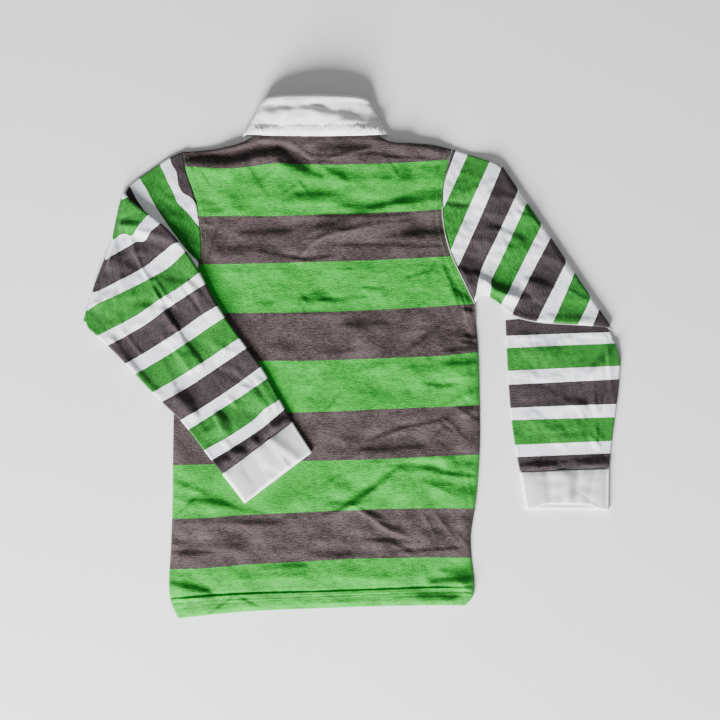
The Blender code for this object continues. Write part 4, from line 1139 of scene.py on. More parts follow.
@dataclass(frozen=True)
class Twill:
    """Heavy white collar cotton with a fine diagonal."""

    name: str

    def build(self) -> bpy.types.Material:
        """Make the material.

        Returns:
            The material.
        """
        s = Surface(self.name, 0.8, 0.1)
        across, along = s.map_xy("knit")
        wale = s.wave(across + along * 0.8, 0.0016)
        slub = s.noise(across * 500.0, along * 260.0, 2.0, 3.0)
        patch = s.noise(across * 45.0, along * 45.0, 5.0, 3.0)
        tone = (slub * 0.45 + patch * 0.55).band(0.2, 0.72)
        # The stripe layer's first coordinate is a painted highlight along the outer edge of the collar's
        # fall.
        painted_highlight, _ = s.map_xy("stripe")
        colour = s.mix(painted_highlight, s.mix(tone, (0.54, 0.54, 0.55), (0.74, 0.74, 0.75)), (0.95, 0.95, 0.95))
        return s.finish(colour, s.bump(wale * 0.35 + slub * 0.65, 0.0003))


@dataclass(frozen=True)
class CuffRib:
    """White rib knit of the cuffs."""

    name: str

    def build(self) -> bpy.types.Material:
        """Make the material.

        Returns:
            The material.
        """
        s = Surface(self.name, 0.85, 0.12)
        across, along = s.map_xy("knit")
        rib = s.wave(across, 0.0021)
        fuzz = s.noise(across * 700.0, along * 300.0, 2.0, 3.0)
        patch = s.noise(across * 40.0, along * 40.0, 5.0, 2.0)
        tone = (rib * 0.35 + fuzz * 0.35 + patch * 0.3).band(0.15, 0.75)
        # The stripe layer's first coordinate is a painted highlight along the cuff's turned edges and its
        # end.
        painted_highlight, _ = s.map_xy("stripe")
        colour = s.mix(painted_highlight, s.mix(tone, (0.46, 0.46, 0.48), (0.64, 0.64, 0.66)), (0.95, 0.95, 0.96))
        return s.finish(colour, s.bump(rib * 0.35 + fuzz * 0.65, 0.00020))


@dataclass(frozen=True)
class Thread:
    """Sewing thread in one dye, a little uneven."""

    name: str
    dark: tuple
    light: tuple

    def build(self) -> bpy.types.Material:
        """Make the material."""
        s = Surface(self.name, 0.6, 0.1)
        return s.finish(s.mix(s.speckle(900.0, 1.0), self.dark, self.light))


@dataclass(frozen=True)
class FloorFinish:
    """Plain pale floor."""

    name: str = "pale floor"

    def build(self) -> bpy.types.Material:
        """Make the material."""
        s = Surface(self.name, 0.9, 0.0)
        return s.finish(s.mix(s.speckle(3.0, 2.0), (0.74, 0.74, 0.75), (0.80, 0.80, 0.81)))


# ------------------------------------------------------------- mesh writing
LEAST_LEVEL = 0.05      # how low an underside may come over the floor, in millimetres


@dataclass
class ClothMesh:
    """Vertices of a cloth piece with its knit and stripe coordinates."""

    name: str
    points: np.ndarray
    faces: list
    knit: np.ndarray
    stripe: np.ndarray

    def build(self, material: bpy.types.Material, wall: float = 0.0) -> bpy.types.Object:
        """Make the object.

        Args:
            material: Its finish.
            wall: Thickness added below its surface, in millimetres.

        Returns:
            The object, facing out.
        """
        mesh = bpy.data.meshes.new(self.name)
        mesh.from_pydata((self.points * MM).tolist(), [], self.faces)
        loops = np.zeros(len(mesh.loops), dtype=np.int64)
        mesh.loops.foreach_get("vertex_index", loops)
        # The stripe layer's first coordinate carries painted light: paler crests and darker folded faces on
        # the jersey, and painted highlights along the cuffs' and collar's edges. Its second is the stripe
        # number.
        for layer, values in (("knit", self.knit), ("stripe", self.stripe)):
            uv = mesh.uv_layers.new(name=layer)
            uv.data.foreach_set("uv", values[loops].astype(np.float32).ravel())
        mesh.materials.append(material)
        mesh.shade_smooth()
        body = bpy.data.objects.new(self.name, mesh)
        bpy.context.scene.collection.objects.link(body)
        if wall:
            shell = body.modifiers.new("Cloth wall", "SOLIDIFY")
            shell.thickness = wall * MM
            shell.offset = -1.0
        return body


def grid_faces(rows: int, columns: int, closed: bool = False) -> list:
    """Quads of a grid that face up where rows run along +y.

    Args:
        rows: Number of rows.
        columns: Number of columns.
        closed: Whether the last column joins the first.

    Returns:
        The faces.
    """
    faces = []
    for i in range(rows - 1):
        for j in range(columns if closed else columns - 1):
            k = (j + 1) % columns
            faces.append((i * columns + j, i * columns + k, (i + 1) * columns + k, (i + 1) * columns + j))
    return faces


def coarse_under(top: np.ndarray, wall: float, step: int) -> tuple:
    """Close a fine top grid with a coarser underside that stays below it.

    Args:
        top: Rows by columns by (x, y, z).
        wall: Least thickness between the two.
        step: How many steps of the top make one below.

    Returns:
        The underside's points, and the faces of the whole shell.
    """
    rows, columns = top.shape[:2]
    lowest = top[..., 2].copy()
    for axis in (0, 1):
        padded = np.pad(lowest, [(step, step) if a == axis else (0, 0) for a in (0, 1)], mode="edge")
        shifted = [np.roll(padded, k, axis=axis) for k in range(-step, step + 1)]
        lowest = np.min(shifted, axis=0).take(range(step, step + top.shape[axis]), axis=axis)
    under = top[::step, ::step].copy()
    under[..., 2] = np.maximum(lowest[::step, ::step] - wall, LEAST_LEVEL)
    low_rows, low_columns = under.shape[:2]
    base = rows * columns
    faces = grid_faces(rows, columns)
    faces += [tuple(base + i for i in reversed(f)) for f in grid_faces(low_rows, low_columns)]
    fine = np.arange(base).reshape(rows, columns)
    low = np.arange(low_rows * low_columns).reshape(low_rows, low_columns) + base
    painted_highlights = ((fine[0], low[0]), (fine[-1], low[-1]), (fine[:, 0], low[:, 0]), (fine[:, -1], low[:, -1]))
    for a, b in painted_highlights:
        for k in range(len(b) - 1):
            run = a[k * step:(k + 1) * step + 1]
            half = step // 2
            faces += [(int(run[i]), int(run[i + 1]), int(b[k])) for i in range(half)]
            faces += [(int(run[i]), int(run[i + 1]), int(b[k + 1])) for i in range(half, step)]
            faces.append((int(run[half]), int(b[k + 1]), int(b[k])))
    return under.reshape(-1, 3), faces


def plan_layers(x: np.ndarray, y: np.ndarray, stripes: StripeMap, wear_and_shade: Any = 0.0) -> tuple:
    """Knit and stripe coordinates of points whose knit follows the plan, the stripe layer's first
    coordinate carrying painted light from crests and folds.
    """
    wear_and_shade = wear_and_shade + np.zeros(len(x))
    return np.stack([x * MM, y * MM], axis=1), np.stack([wear_and_shade, stripes.at(x, y)], axis=1)


def face_out(body: bpy.types.Object) -> None:
    """Turn a closed mesh's faces outwards.

    Args:
        body: The object.
    """
    work = bmesh.new()
    work.from_mesh(body.data)
    bmesh.ops.recalc_face_normals(work, faces=work.faces[:])
    if work.calc_volume(signed=True) < 0:
        bmesh.ops.reverse_faces(work, faces=work.faces[:])
    work.to_mesh(body.data)
    work.free()


# ---------------------------------------------------------------- the body
@dataclass
class Body:
    """Sizes that the front and the back share, in millimetres and grid lines."""

    jersey: float = 1.2
    neck_lift_back: float = 3.5
    neck_lift_front: float = 2.6
    columns: int = 257
    side_rows: int = 222
    armhole_rows: int = 111
    underarm: float = 0.672
    neck_from: float = 0.297
    neck_to: float = 0.699
    lift_y: tuple = (132.0, 152.0)
    lift_x: tuple = (88.0, 110.0)

    def neck_lift(self, x: np.ndarray, y: np.ndarray) -> np.ndarray:
        """Share of the panels' rise over the collar leaves, 0 to 1."""
        return smoothstep(y, *self.lift_y) * (1.0 - smoothstep(np.abs(x - COLLAR_CENTRE_X), *self.lift_x))

    def fractions(self) -> tuple:
        """Space the grid's lines, closer at the edges.

        Returns:
            Column, side and armhole fractions.
        """
        edge = np.array([0.0, 0.0012, 0.0028, 0.0048, 0.0074, 0.0108])
        hem = [[0.0, 0.0012, 0.0028, 0.005], np.linspace(0.0095, 0.030, 8), np.linspace(0.0325, 0.070, 21)]
        inner = np.linspace(0.0150, 0.985, self.columns - 12)
        u = np.concatenate([edge, inner, 1.0 - edge[::-1]])
        for corner in (self.neck_from, self.neck_to):
            u[np.argmin(np.abs(u - corner))] = corner
        sides = np.concatenate([*hem, np.linspace(0.0755, 0.995, self.side_rows - 33)])
        return u, sides, np.linspace(0.0, 1.0, self.armhole_rows)

    def plan(self, inset: float) -> np.ndarray:
        """Blend the outline's four sides into a grid of plan points.

        Args:
            inset: How far the sides below the underarm move in.

        Returns:
            Rows by columns by (x, y).
        """
        u, sides, armholes = self.fractions()
        left = np.vstack([curve_through(SIDE_LEFT, sides), curve_through(ARMHOLE_LEFT, armholes)])
        right = np.vstack([curve_through(SIDE_RIGHT, sides), curve_through(ARMHOLE_RIGHT, armholes)])
        move = inset * smoothstep(-left[:, 1], -70.0, -57.0)
        left[:, 0] += move
        right[:, 0] -= move
        bottom = curve_through(HEM, u)
        a, b = self.neck_from, self.neck_to
        top = np.vstack([
            curve_through(SHOULDER_LEFT, u[u < a] / a),
            curve_through(NAPE, (u[(u >= a) & (u <= b)] - a) / (b - a)),
            curve_through(SHOULDER_RIGHT, (u[u > b] - b) / (1.0 - b)),
        ])
        v = np.concatenate([sides * self.underarm, self.underarm + armholes * (1.0 - self.underarm)])
        bottom[:, 0] += move[0] * (1.0 - 2.0 * u)
        uu, vv = u[None, :, None], v[:, None, None]
        return ((1 - uu) * left[:, None, :] + uu * right[:, None, :]
                + (1 - vv) * bottom[None, :, :] + vv * top[None, :, :]
                - (1 - uu) * (1 - vv) * bottom[0] - uu * (1 - vv) * bottom[-1]
                - (1 - uu) * vv * top[0] - uu * vv * top[-1])


@dataclass
class BackPanel:
    """The back: creased jersey with rolled sides and a turned-up hem."""

    body: Body
    under_level: float = 1.7
    clearance: float = 0.1
    wave: float = 2.6
    least_lift: float = 0.4
    top_round: float = 3.2
    edge_round: float = 4.6
    hem_band: float = 18.2
    hem_rise: float = 2.6
    second_line: float = 5.2
    hem_raise: float = 1.0
    hem_round: float = 1.8
    hem_stitches: tuple = (10.5, 16.0)
    seam_band: float = 7.0
    seam_raise: float = 0.55
    seam_stitches: tuple = (1.0, 5.6)
    stitch_lift: float = 0.05
    edge_level: float = 0.9
    # How much the puckers' height tints the colour: paler on rises, darker in hollows, as wear and painted
    # light.
    pucker_wear_and_shade: float = 0.06
    under_step: int = 4

    def __post_init__(self) -> None:
        """Work out the stripe field and the ripples once."""
        self.stripes = StripeMap(BODY_STRIPES)
        self.swell = Ripple(11, 90.0, 38.0, 1.3)
        self.pucker = Ripple(12, 30.0, 11.0, 1.9)
        self.crinkle = Ripple(13, 11.0, 4.5, 2.2, 40)
        self.armholes = [curve_through(t, np.linspace(0, 1, 40)) for t in (ARMHOLE_LEFT, ARMHOLE_RIGHT)]
        covering = (*LEFT_FOREARM, LEFT_CUFF[-1])
        self.hidden = [r[:2] for r in covering] + [r[2:] for r in reversed(covering)]
        self.hem_line = curve_through(HEM, np.linspace(0, 1, 60))

    def relief(self, x: np.ndarray, y: np.ndarray) -> np.ndarray:
        """Height of the creases over the flat panel, in millimetres.

        Args:
            x: Plan x, any shape.
            y: Plan y, the same shape.

        Returns:
            The relief, always above 0.
        """
        side, top, hem = self.edges(x, y)
        from_sleeve = distance_outside(x, y, self.hidden)
        inner = (0.25 + 0.75 * smoothstep(side, 0.0, 14.0)) * rounded(top, self.top_round)
        fine = smoothstep(hem, 0.0, 6.0)
        rumpled = 0.62 + 0.38 * smoothstep(y, 120.0, 175.0) + 0.25 * smoothstep(-y, 80.0, 130.0)
        wave = self.wave + 0.55 * self.swell.at(x, y) + rumpled * 0.3 * self.pucker.at(x, y)
        wave += 0.12 * self.crinkle.at(x, y)
        creased = crease_height(x, y, BACK_CREASES) + fold_height(x, y, BACK_FOLDS)[0]
        lift = wave * inner * fine * smoothstep(from_sleeve, 2.0, 36.0)
        lift += creased * (0.5 + 0.5 * inner) * smoothstep(from_sleeve, 1.0, 10.0)
        return kept_up(lift, self.least_lift)

    def edges(self, x: np.ndarray, y: np.ndarray) -> tuple:
        """Measure how far plan points lie from the panel's edges.

        Args:
            x: Plan x, any shape.
            y: Plan y, the same shape.

        Returns:
            Distances to the nearer side, the top edge and the hem.
        """
        sides = [distance_to_line(x, y, np.vstack([curve_through(t, np.linspace(0, 1, 60)), armhole]))
                 for t, armhole in zip((SIDE_LEFT, SIDE_RIGHT), self.armholes)]
        tops = (SHOULDER_LEFT, NAPE, SHOULDER_RIGHT)
        top_line = np.vstack([curve_through(t, np.linspace(0, 1, 12)) for t in tops])
        return np.minimum(*sides), distance_to_line(x, y, top_line), distance_to_line(x, y, self.hem_line)

    def top(self, x: np.ndarray, y: np.ndarray) -> np.ndarray:
        """Work out the height of the panel's outside.

        Args:
            x: Plan x, any shape.
            y: Plan y, the same shape.

        Returns:
            The height in millimetres.
        """
        side, _, hem = self.edges(x, y)
        z = self.under_level + self.body.jersey + self.clearance
        z = z + self.body.neck_lift_back * self.body.neck_lift(x, y)
        z = z + self.relief(x, y)
        shown = smoothstep(distance_outside(x, y, self.hidden), 1.0, 6.0)
        band = self.hem_band + self.hem_rise * ((x - 20.0) / 150.0) ** 2
        z += shown * self.hem_raise * (1.0 - smoothstep(hem, band - 1.2, band + 0.3))
        z -= (0.9 + 0.5 * smoothstep(-x, 60.0, 90.0)) * ridge(hem - band - 0.6, 1.2)
        z -= 0.5 * ridge(hem - band + self.second_line, 0.8)
        for row in self.hem_stitches:
            z -= 0.35 * ridge(hem - row, 0.9)
        for line in self.armholes:
            away = distance_to_line(x, y, line)
            within = 1.0 - smoothstep(away, self.seam_band - 1.5, self.seam_band + 1.0)
            z += shown * self.seam_raise * within * smoothstep(away, 0.0, 1.6)
        lip = smoothstep(-y, -60.0, -46.0)
        z -= (1.0 - rounded(side, self.edge_round)) * lip * (z - self.edge_level)
        z -= (1.0 - rounded(hem, self.hem_round)) * np.maximum(z - 2.4, 0.0)
        return z

    def build(self, material: bpy.types.Material) -> bpy.types.Object:
        """Make the panel.

        Args:
            material: Its finish.

        Returns:
            The panel.
        """
        plan = self.body.plan(0.0)
        rows, columns = plan.shape[:2]
        x, y = plan[..., 0].ravel(), plan[..., 1].ravel()
        points = np.stack([x, y, self.top(x, y)], axis=1)
        under, faces = coarse_under(points.reshape(rows, columns, 3), self.body.jersey, self.under_step)
        # Painted light in the back's colour: crests and pucker rises paler as wear and painted highlight,
        # folded faces and hollows darker as painted shade.
        wear_and_shade = wear_and_painted_light(x, y, BACK_CREASES, BACK_FOLDS, self.pucker_wear_and_shade * self.pucker.at(x, y))
        step = self.under_step
        layers = [np.vstack([a, a.reshape(rows, columns, 2)[::step, ::step].reshape(-1, 2)])
                  for a in plan_layers(x, y, self.stripes, wear_and_shade)]
        mesh = ClothMesh("back_jersey_panel", np.vstack([points, under]), faces, *layers)
        piece = mesh.build(material)
        face_out(piece)
        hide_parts("back_panel")
        return piece


@dataclass
class FrontPanel:
    """The front, flat on the floor under the back."""

    body: Body
    placket_half: float = 15.3
    placket_foot: float = 69.7
    crease_lift: float = 0.22

    def build(self, material: bpy.types.Material, stripes: StripeMap) -> bpy.types.Object:
        """Make the panel, open at the neck and the placket.

        Args:
            material: Its finish.
            stripes: The stripe field of the body.

        Returns:
            The panel.
        """
        coarse = Body(jersey=self.body.jersey, columns=140, side_rows=130, armhole_rows=70)
        plan = coarse.plan(3.2)
        rows, columns = plan.shape[:2]
        x, y = plan[..., 0].ravel(), plan[..., 1].ravel()
        quiet = 0.5 * crease_height(-x, y, BACK_CREASES) + 0.4 * Ripple(51, 26.0, 9.0, 1.6).at(x, y)
        mirrored = self.crease_lift * np.tanh(quiet)
        neck = self.body.neck_lift_front * self.body.neck_lift(x, y)
        z = self.body.jersey + self.crease_lift + mirrored + neck
        opening = ([p for p in NECKLINE if p.x < COLLAR_CENTRE_X]
                   + [Point(COLLAR_CENTRE_X - self.placket_half, self.placket_foot),
                      Point(COLLAR_CENTRE_X + self.placket_half, self.placket_foot)]
                   + [p for p in NECKLINE if p.x > COLLAR_CENTRE_X])
        away = distance_outside(x, y, opening)
        every = grid_faces(rows, columns)
        faces = [f for f in every if all(away[i] > 0.0 for i in f)]
        cut = {i for f in every if not all(away[i] > 0.0 for i in f) for i in f}
        edge = curve_of_corners(opening, 0.5)
        for i in cut & {i for f in faces for i in f}:
            x[i], y[i] = edge[np.argmin(np.hypot(edge[:, 0] - x[i], edge[:, 1] - y[i]))]
        points = np.stack([x, y, z], axis=1)
        mesh = ClothMesh("front_jersey_panel", points, faces, *plan_layers(x, y, stripes))
        piece = mesh.build(material, self.body.jersey)
        work = bmesh.new()
        work.from_mesh(piece.data)
        bmesh.ops.delete(work, geom=[v for v in work.verts if not v.link_faces], context="VERTS")
        work.to_mesh(piece.data)
        work.free()
        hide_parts("front_panel")
        return piece


@dataclass
class Placket:
    """The fly placket on the hidden front."""

    left: float = -21.5
    right: float = 8.5
    foot: float = 70.0
    head: float = 191.0
    thick: float = 1.6
    wall: float = 1.0
    columns: int = 25
    rows: int = 81

    def build(self, material: bpy.types.Material, stripes: StripeMap) -> bpy.types.Object:
        """Make the strip, rounded at its edges and pressed in along them.

        Args:
            material: Its finish.
            stripes: The stripe field of the body.

        Returns:
            The strip.
        """
        us = np.linspace(self.left, self.right, self.columns)
        vs = np.linspace(self.foot, self.head, self.rows)
        x, y = (a.ravel() for a in np.meshgrid(us, vs))
        edge = np.min([x - self.left, self.right - x, y - self.foot, self.head - y], axis=0)
        z = self.thick - 0.5 * (1.0 - smoothstep(edge, 0.0, 1.6)) - 0.12 * ridge(edge - 4.0, 0.8)
        points, faces = np.stack([x, y, z], axis=1), grid_faces(self.rows, self.columns)
        mesh = ClothMesh("placket_strip", points, faces, *plan_layers(x, y, stripes))
        piece = mesh.build(material, self.wall)
        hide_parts("placket")
        return piece


# ---------------------------------------------------------- flattened tubes
def tube_section(height: float, wall: float, layer_steps: int, end_steps: int) -> list:
    """Make the section of a flattened tube.

    Args:
        height: Height outside.
        wall: Thickness of the cloth.
        layer_steps: Steps across each layer.
        end_steps: Steps round each edge.

    Returns:
        Outer and inner loop, rows of (across, past the edge, height, layer).
    """
    loops = []
    mid = height / 2
    w = np.linspace(0.0, 1.0, layer_steps + 1)
    a = np.linspace(0.0, math.pi, end_steps + 1)[1:-1]
    for r in (mid, mid - wall):
        rows = [(v, 0.0, mid + r, 1.0) for v in w]
        rows += [(1.0, r * math.sin(t), mid + r * math.cos(t), math.cos(t)) for t in a]
        rows += [(v, 0.0, mid - r, -1.0) for v in w[::-1]]
        rows += [(0.0, -r * math.sin(t), mid - r * math.cos(t), -math.cos(t)) for t in a]
        loops.append(np.array(rows))
    return loops


def on_ruling(ruling: np.ndarray, loop: np.ndarray, height: float) -> np.ndarray:
    """Lay a tube's section along a ruling.

    Args:
        ruling: The line across.
        loop: The section's rows.
        height: Height of the tube.

    Returns:
        Plan points.
    """
    top, under = ruling[:2], ruling[2:]
    along = (under - top) / np.linalg.norm(under - top)
    start, end = top + along * height / 2, under - along * height / 2
    return start + (end - start) * loop[:, :1] + along * loop[:, 1:2]


def knit_ring(ruling: np.ndarray, loop: np.ndarray, length: float) -> np.ndarray:
    """Knit coordinates of a section: metres round the tube and along it.

    Args:
        ruling: The line across.
        loop: The section's rows.
        length: Metres along the tube.

    Returns:
        Rows of two coordinates.
    """
    width = float(np.linalg.norm(ruling[2:] - ruling[:2]))
    girth = np.where(loop[:, 3] >= 0.0, loop[:, 0], 2.0 - loop[:, 0]) * width * MM
    return np.stack([girth, np.full(len(loop), length)], axis=1)


def tube_faces(pairs: int, count: int) -> list:
    """Faces of a tube wall, from pairs of outer and inner rings.

    Args:
        pairs: Number of pairs.
        count: Points of a ring.

    Returns:
        The faces, closed at both ends.
    """
    faces = []
    around = [(j, (j + 1) % count) for j in range(count)]
    for here in range(0, (pairs - 1) * 2 * count, 2 * count):
        there = here + 2 * count
        for j, k in around:
            faces.append((here + j, here + k, there + k, there + j))
            faces.append((here + count + k, here + count + j, there + count + j, there + count + k))
    for base in (0, (pairs - 1) * 2 * count):
        faces += [(base + j, base + k, base + count + k, base + count + j) for j, k in around]
    return faces


# -------------------------------------------------------------- the sleeves
class Side(Enum):
    """Which sleeve, with the way its elbow folds."""

    LEFT = "over"
    RIGHT = "under"


@dataclass
class Sleeve:
    """A flattened jersey tube with its elbow fold."""

    side: Side
    name: str
    node: str
    slot: str
    upper: tuple
    lower: tuple
    armhole: tuple
    upper_marks: dict
    lower_marks: dict
    creases: tuple
    upper_creases: tuple
    folds: tuple
    upper_folds: tuple
    flat: tuple
    area: float
    height: float = 3.2
    wall: float = 1.1
    fold_inner: float = 0.15
    layer_steps: int = 80
    end_steps: int = 10
    upper_rings: int = 80
    lower_rings: int = 150
    bend_rings: int = 14
    edge_puff: float = 0.0
    elbow_dent: float = 0.0
    hidden_lift: float = 0.2
    least_lift: float = 0.3
    seed: int = 21

    def __post_init__(self) -> None:
        """Work out the stripe fields and ripples once."""
        self.upper_stripes = StripeMap(self.upper_marks)
        self.lower_stripes = StripeMap(self.lower_marks)
        self.swell = Ripple(self.seed, 70.0, 28.0, 1.0)
        self.pucker = Ripple(self.seed + 1, 22.0, 8.0, 1.0)
        self.pucker_height = 0.34 if self.side is Side.LEFT else 0.2
        self.axis_z = self.height + self.fold_inner
        self.turn_sign = -1.0 if self.side is Side.LEFT else 1.0
        fold = np.array(self.upper[-1])
        line = fold[2:] - fold[:2]
        out = np.array([line[1], -line[0]]) / np.linalg.norm(line)
        self.outward = -out if (out[0] > 0) == (self.side is Side.LEFT) else out
        self.seam = curve_through(list(reversed(self.armhole)), np.linspace(0.0, 1.0, 81))

    def relief(self, x: np.ndarray, y: np.ndarray, across: np.ndarray, turned: bool) -> np.ndarray:
        """Height of the creases over the flat layer, in millimetres.

        Args:
            x: Plan x.
            y: Plan y.
            across: Fraction across the sleeve.
            turned: Whether it is past the elbow.

        Returns:
            The relief, always above 0.
        """
        edge = np.minimum(across, 1.0 - across)
        inner = 0.2 + 0.8 * smoothstep(edge, 0.0, 0.16)
        wave = 1.2 + 0.6 * self.swell.at(x, y) + self.pucker_height * self.pucker.at(x, y)
        creased = crease_height(x, y, self.creases if turned else self.upper_creases)
        creased = creased + fold_height(x, y, self.folds if turned else self.upper_folds)[0]
        lift = wave * inner + creased * (0.5 + 0.5 * inner)
        return kept_up(lift, self.least_lift)

    def armhole_bow(self, across: np.ndarray) -> np.ndarray:
        """Measure how far the armhole curve lies from its chord.

        Args:
            across: Fractions across the sleeve.

        Returns:
            Rows of (x, y) from the chord to the curve.
        """
        last = len(self.seam) - 1
        on_seam = read_at(np.clip(across, 0.0, 1.0) * float(last), np.arange(last + 1), self.seam)
        return on_seam - (self.seam[0] + (self.seam[-1] - self.seam[0]) * across[:, None])

    def ring(self, ruling: np.ndarray, loop: np.ndarray, bow: float, dent: float) -> np.ndarray:
        """Lay a section on a ruling, bowed at the armhole and dented at the elbow.

        Args:
            ruling: The line across.
            loop: The section's rows.
            bow: Share of the armhole's curve.
            dent: Share of the elbow's dent.

        Returns:
            Plan points.
        """
        plan = on_ruling(ruling, loop, self.height)
        if bow:
            plan = plan + self.armhole_bow(loop[:, 0]) * bow
        sunk = self.elbow_dent * dent * ridge(loop[:, 0] - 0.38, 0.22)
        return plan - self.outward * sunk[:, None]

    def puff(self, loop: np.ndarray, turned: bool, share: float) -> np.ndarray:
        """Puff up the folded sleeve near its rounded top edge.

        Args:
            loop: The section's rows.
            turned: Whether it is past the elbow.
            share: Fraction along this half.

        Returns:
            The height that it adds.
        """
        if not (turned and self.side is Side.LEFT):
            return np.zeros(len(loop))
        full = 1.3 - 0.85 * float(smoothstep(share, 0.45, 0.72))
        return self.edge_puff * full * ridge(loop[:, 0], 0.16)

    def build(self, material: bpy.types.Material) -> bpy.types.Object:
        """Make the sleeve, ring by ring from its armhole to its cuff.

        Args:
            material: Its finish.

        Returns:
            The sleeve.
        """
        loops = tube_section(self.height, self.wall, self.layer_steps, self.end_steps)
        rings: list = []
        knit_rings: list = []
        stripe_rings: list = []
        length = 0.0
        last_middle = None

        def add(made: list, turned: float, ruling: np.ndarray, level: float, aside: Any = 0.0,
                creases: tuple = (), folds: tuple = ()) -> None:
            """Keep an outer and an inner ring, and their coordinates.

            Args:
                made: Points of the two rings.
                turned: Share of the lower half's stripes.
                ruling: The line across.
                level: Height of the sleeve's middle, for its length.
                aside: How far that middle lies from the ruling's.
                creases: Creases whose crests paint them paler, as wear and painted highlight.
                folds: Folds whose faces paint them darker, as painted shade.
            """
            nonlocal length, last_middle
            middle = np.append((ruling[:2] + ruling[2:]) / 2 + aside, level)
            if last_middle is not None:
                length += float(np.linalg.norm(middle - last_middle))
            last_middle = middle
            for points, loop in zip(made, loops):
                x, y = points[:, 0], points[:, 1]
                # Painted light on the outer layer: crests paler as wear and painted highlight, folded faces
                # darker as painted shade.
                wear_and_shade = wear_and_painted_light(x, y, creases, folds, shown=loop[:, 3] > 0.5)
                number = np.zeros(len(loop))
                if turned < 1.0:
                    number = number + (1.0 - turned) * self.upper_stripes.at(x, y)
                if turned > 0.0:
                    number = number + turned * self.lower_stripes.at(x, y)
                rings.append(points)
                knit_rings.append(knit_ring(ruling, loop, length * MM))
                stripe_rings.append(np.stack([wear_and_shade, number], axis=1))

        rows = len(self.upper) - 1
        for step in range(self.upper_rings):
            share = step / self.upper_rings
            ruling = curve_through(self.upper, [share], by_length=False)[0]
            bow = float(np.interp(share * rows, range(rows + 1), ARMHOLE_BOW))
            climb = float(np.interp(share * rows, (0.0, 1.0, 2.0), (0.0, 0.45, 1.0)))
            made = [self.flat_ring(ruling, loop, bow, False, climb, share) for loop in loops]
            add(made, 0.0, ruling, 0.0, 0.0, self.upper_creases, self.upper_folds)
        fold = np.array(self.upper[-1])
        for step in range(self.bend_rings + 1):
            angle = math.pi * step / self.bend_rings
            made = []
            for loop in loops:
                plan = self.ring(fold, loop, 0.0, 1.0)
                radius = self.fold_inner + loop[:, 2]
                moved = plan + self.outward * (radius * math.sin(angle))[:, None]
                z = self.axis_z + self.turn_sign * radius * math.cos(angle)
                made.append(np.column_stack([moved, z]))
            share = float(smoothstep(angle, 0.0, math.pi))
            add(made, share, fold, 2.0 * math.cos(angle), self.outward * math.sin(angle))
        for step in range(1, self.lower_rings + 1):
            share = step / self.lower_rings
            ruling = curve_through(self.lower, [share], by_length=False)[0]
            made = [self.flat_ring(ruling, loop, 0.0, True, 1.0, share) for loop in loops]
            add(made, 1.0, ruling, -2.0, 0.0, self.creases, self.folds)
        return self.join(rings, knit_rings, stripe_rings, material)

    def flat_ring(self, ruling: np.ndarray, loop: np.ndarray, bow: float, turned: bool,
                  climb: float, share: float) -> np.ndarray:
        """Points of a section where the sleeve lies flat.

        Args:
            ruling: The line across.
            loop: The section's rows.
            bow: Share of the armhole's curve.
            turned: Whether it is past the elbow.
            climb: How far the right sleeve has risen onto its forearm.
            share: Fraction along this half.

        Returns:
            Rows of (x, y, z).
        """
        dent = 1.0 - float(smoothstep(share, 0.0, 0.16)) if turned else float(smoothstep(share, 0.8, 1.0))
        plan = self.ring(ruling, loop, bow, dent)
        x, y = plan[:, 0], plan[:, 1]
        sign = self.turn_sign * (-1.0 if turned else 1.0)
        z = self.axis_z + sign * (self.fold_inner + loop[:, 2])
        up = np.clip(loop[:, 3] * sign, 0.0, 1.0)
        if self.side is Side.LEFT:
            shown = smoothstep(share, 0.0, 0.08) if turned else smoothstep(x.mean(), -205.0, -160.0) * 0.7
        elif turned:
            shown = smoothstep(-y, -47.0, -34.0)
        else:
            shown = smoothstep(share, 0.0, 0.03) * (1.0 - 0.4 * smoothstep(share, 0.9, 1.0))
        end = 1.0 - (0.5 * float(smoothstep(share, 0.975, 1.0)) if turned else 0.0)
        down = np.clip(-loop[:, 3] * sign, 0.0, 1.0)
        quiet = 1.0 + np.tanh(0.8 * self.swell.at(-x, y) + 0.8 * self.pucker.at(-x, y))
        z = z + down * end * self.hidden_lift * quiet
        z = z + up * (self.relief(x, y, loop[:, 0], turned) * shown + self.puff(loop, turned, share)) * end
        if self.side is Side.RIGHT and not turned:
            level = self.axis_z + self.fold_inner
            z = z - level * (1.0 - climb * smoothstep(x, 152.0, 177.0))
        return np.column_stack([plan, z])

    def join(self, rings: list, knit: list, stripe: list, material: bpy.types.Material) -> bpy.types.Object:
        """Args:
            rings: Outer and inner rings in turn.
            knit: Their knit coordinates.
            stripe: Their stripe coordinates.
            material: The finish.

        Returns:
            The sleeve.
        """
        faces = tube_faces(len(rings) // 2, len(rings[0]))
        mesh = ClothMesh(self.name, np.vstack(rings), faces, np.vstack(knit), np.vstack(stripe))
        piece = mesh.build(material)
        face_out(piece)
        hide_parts(self.node)
        return piece


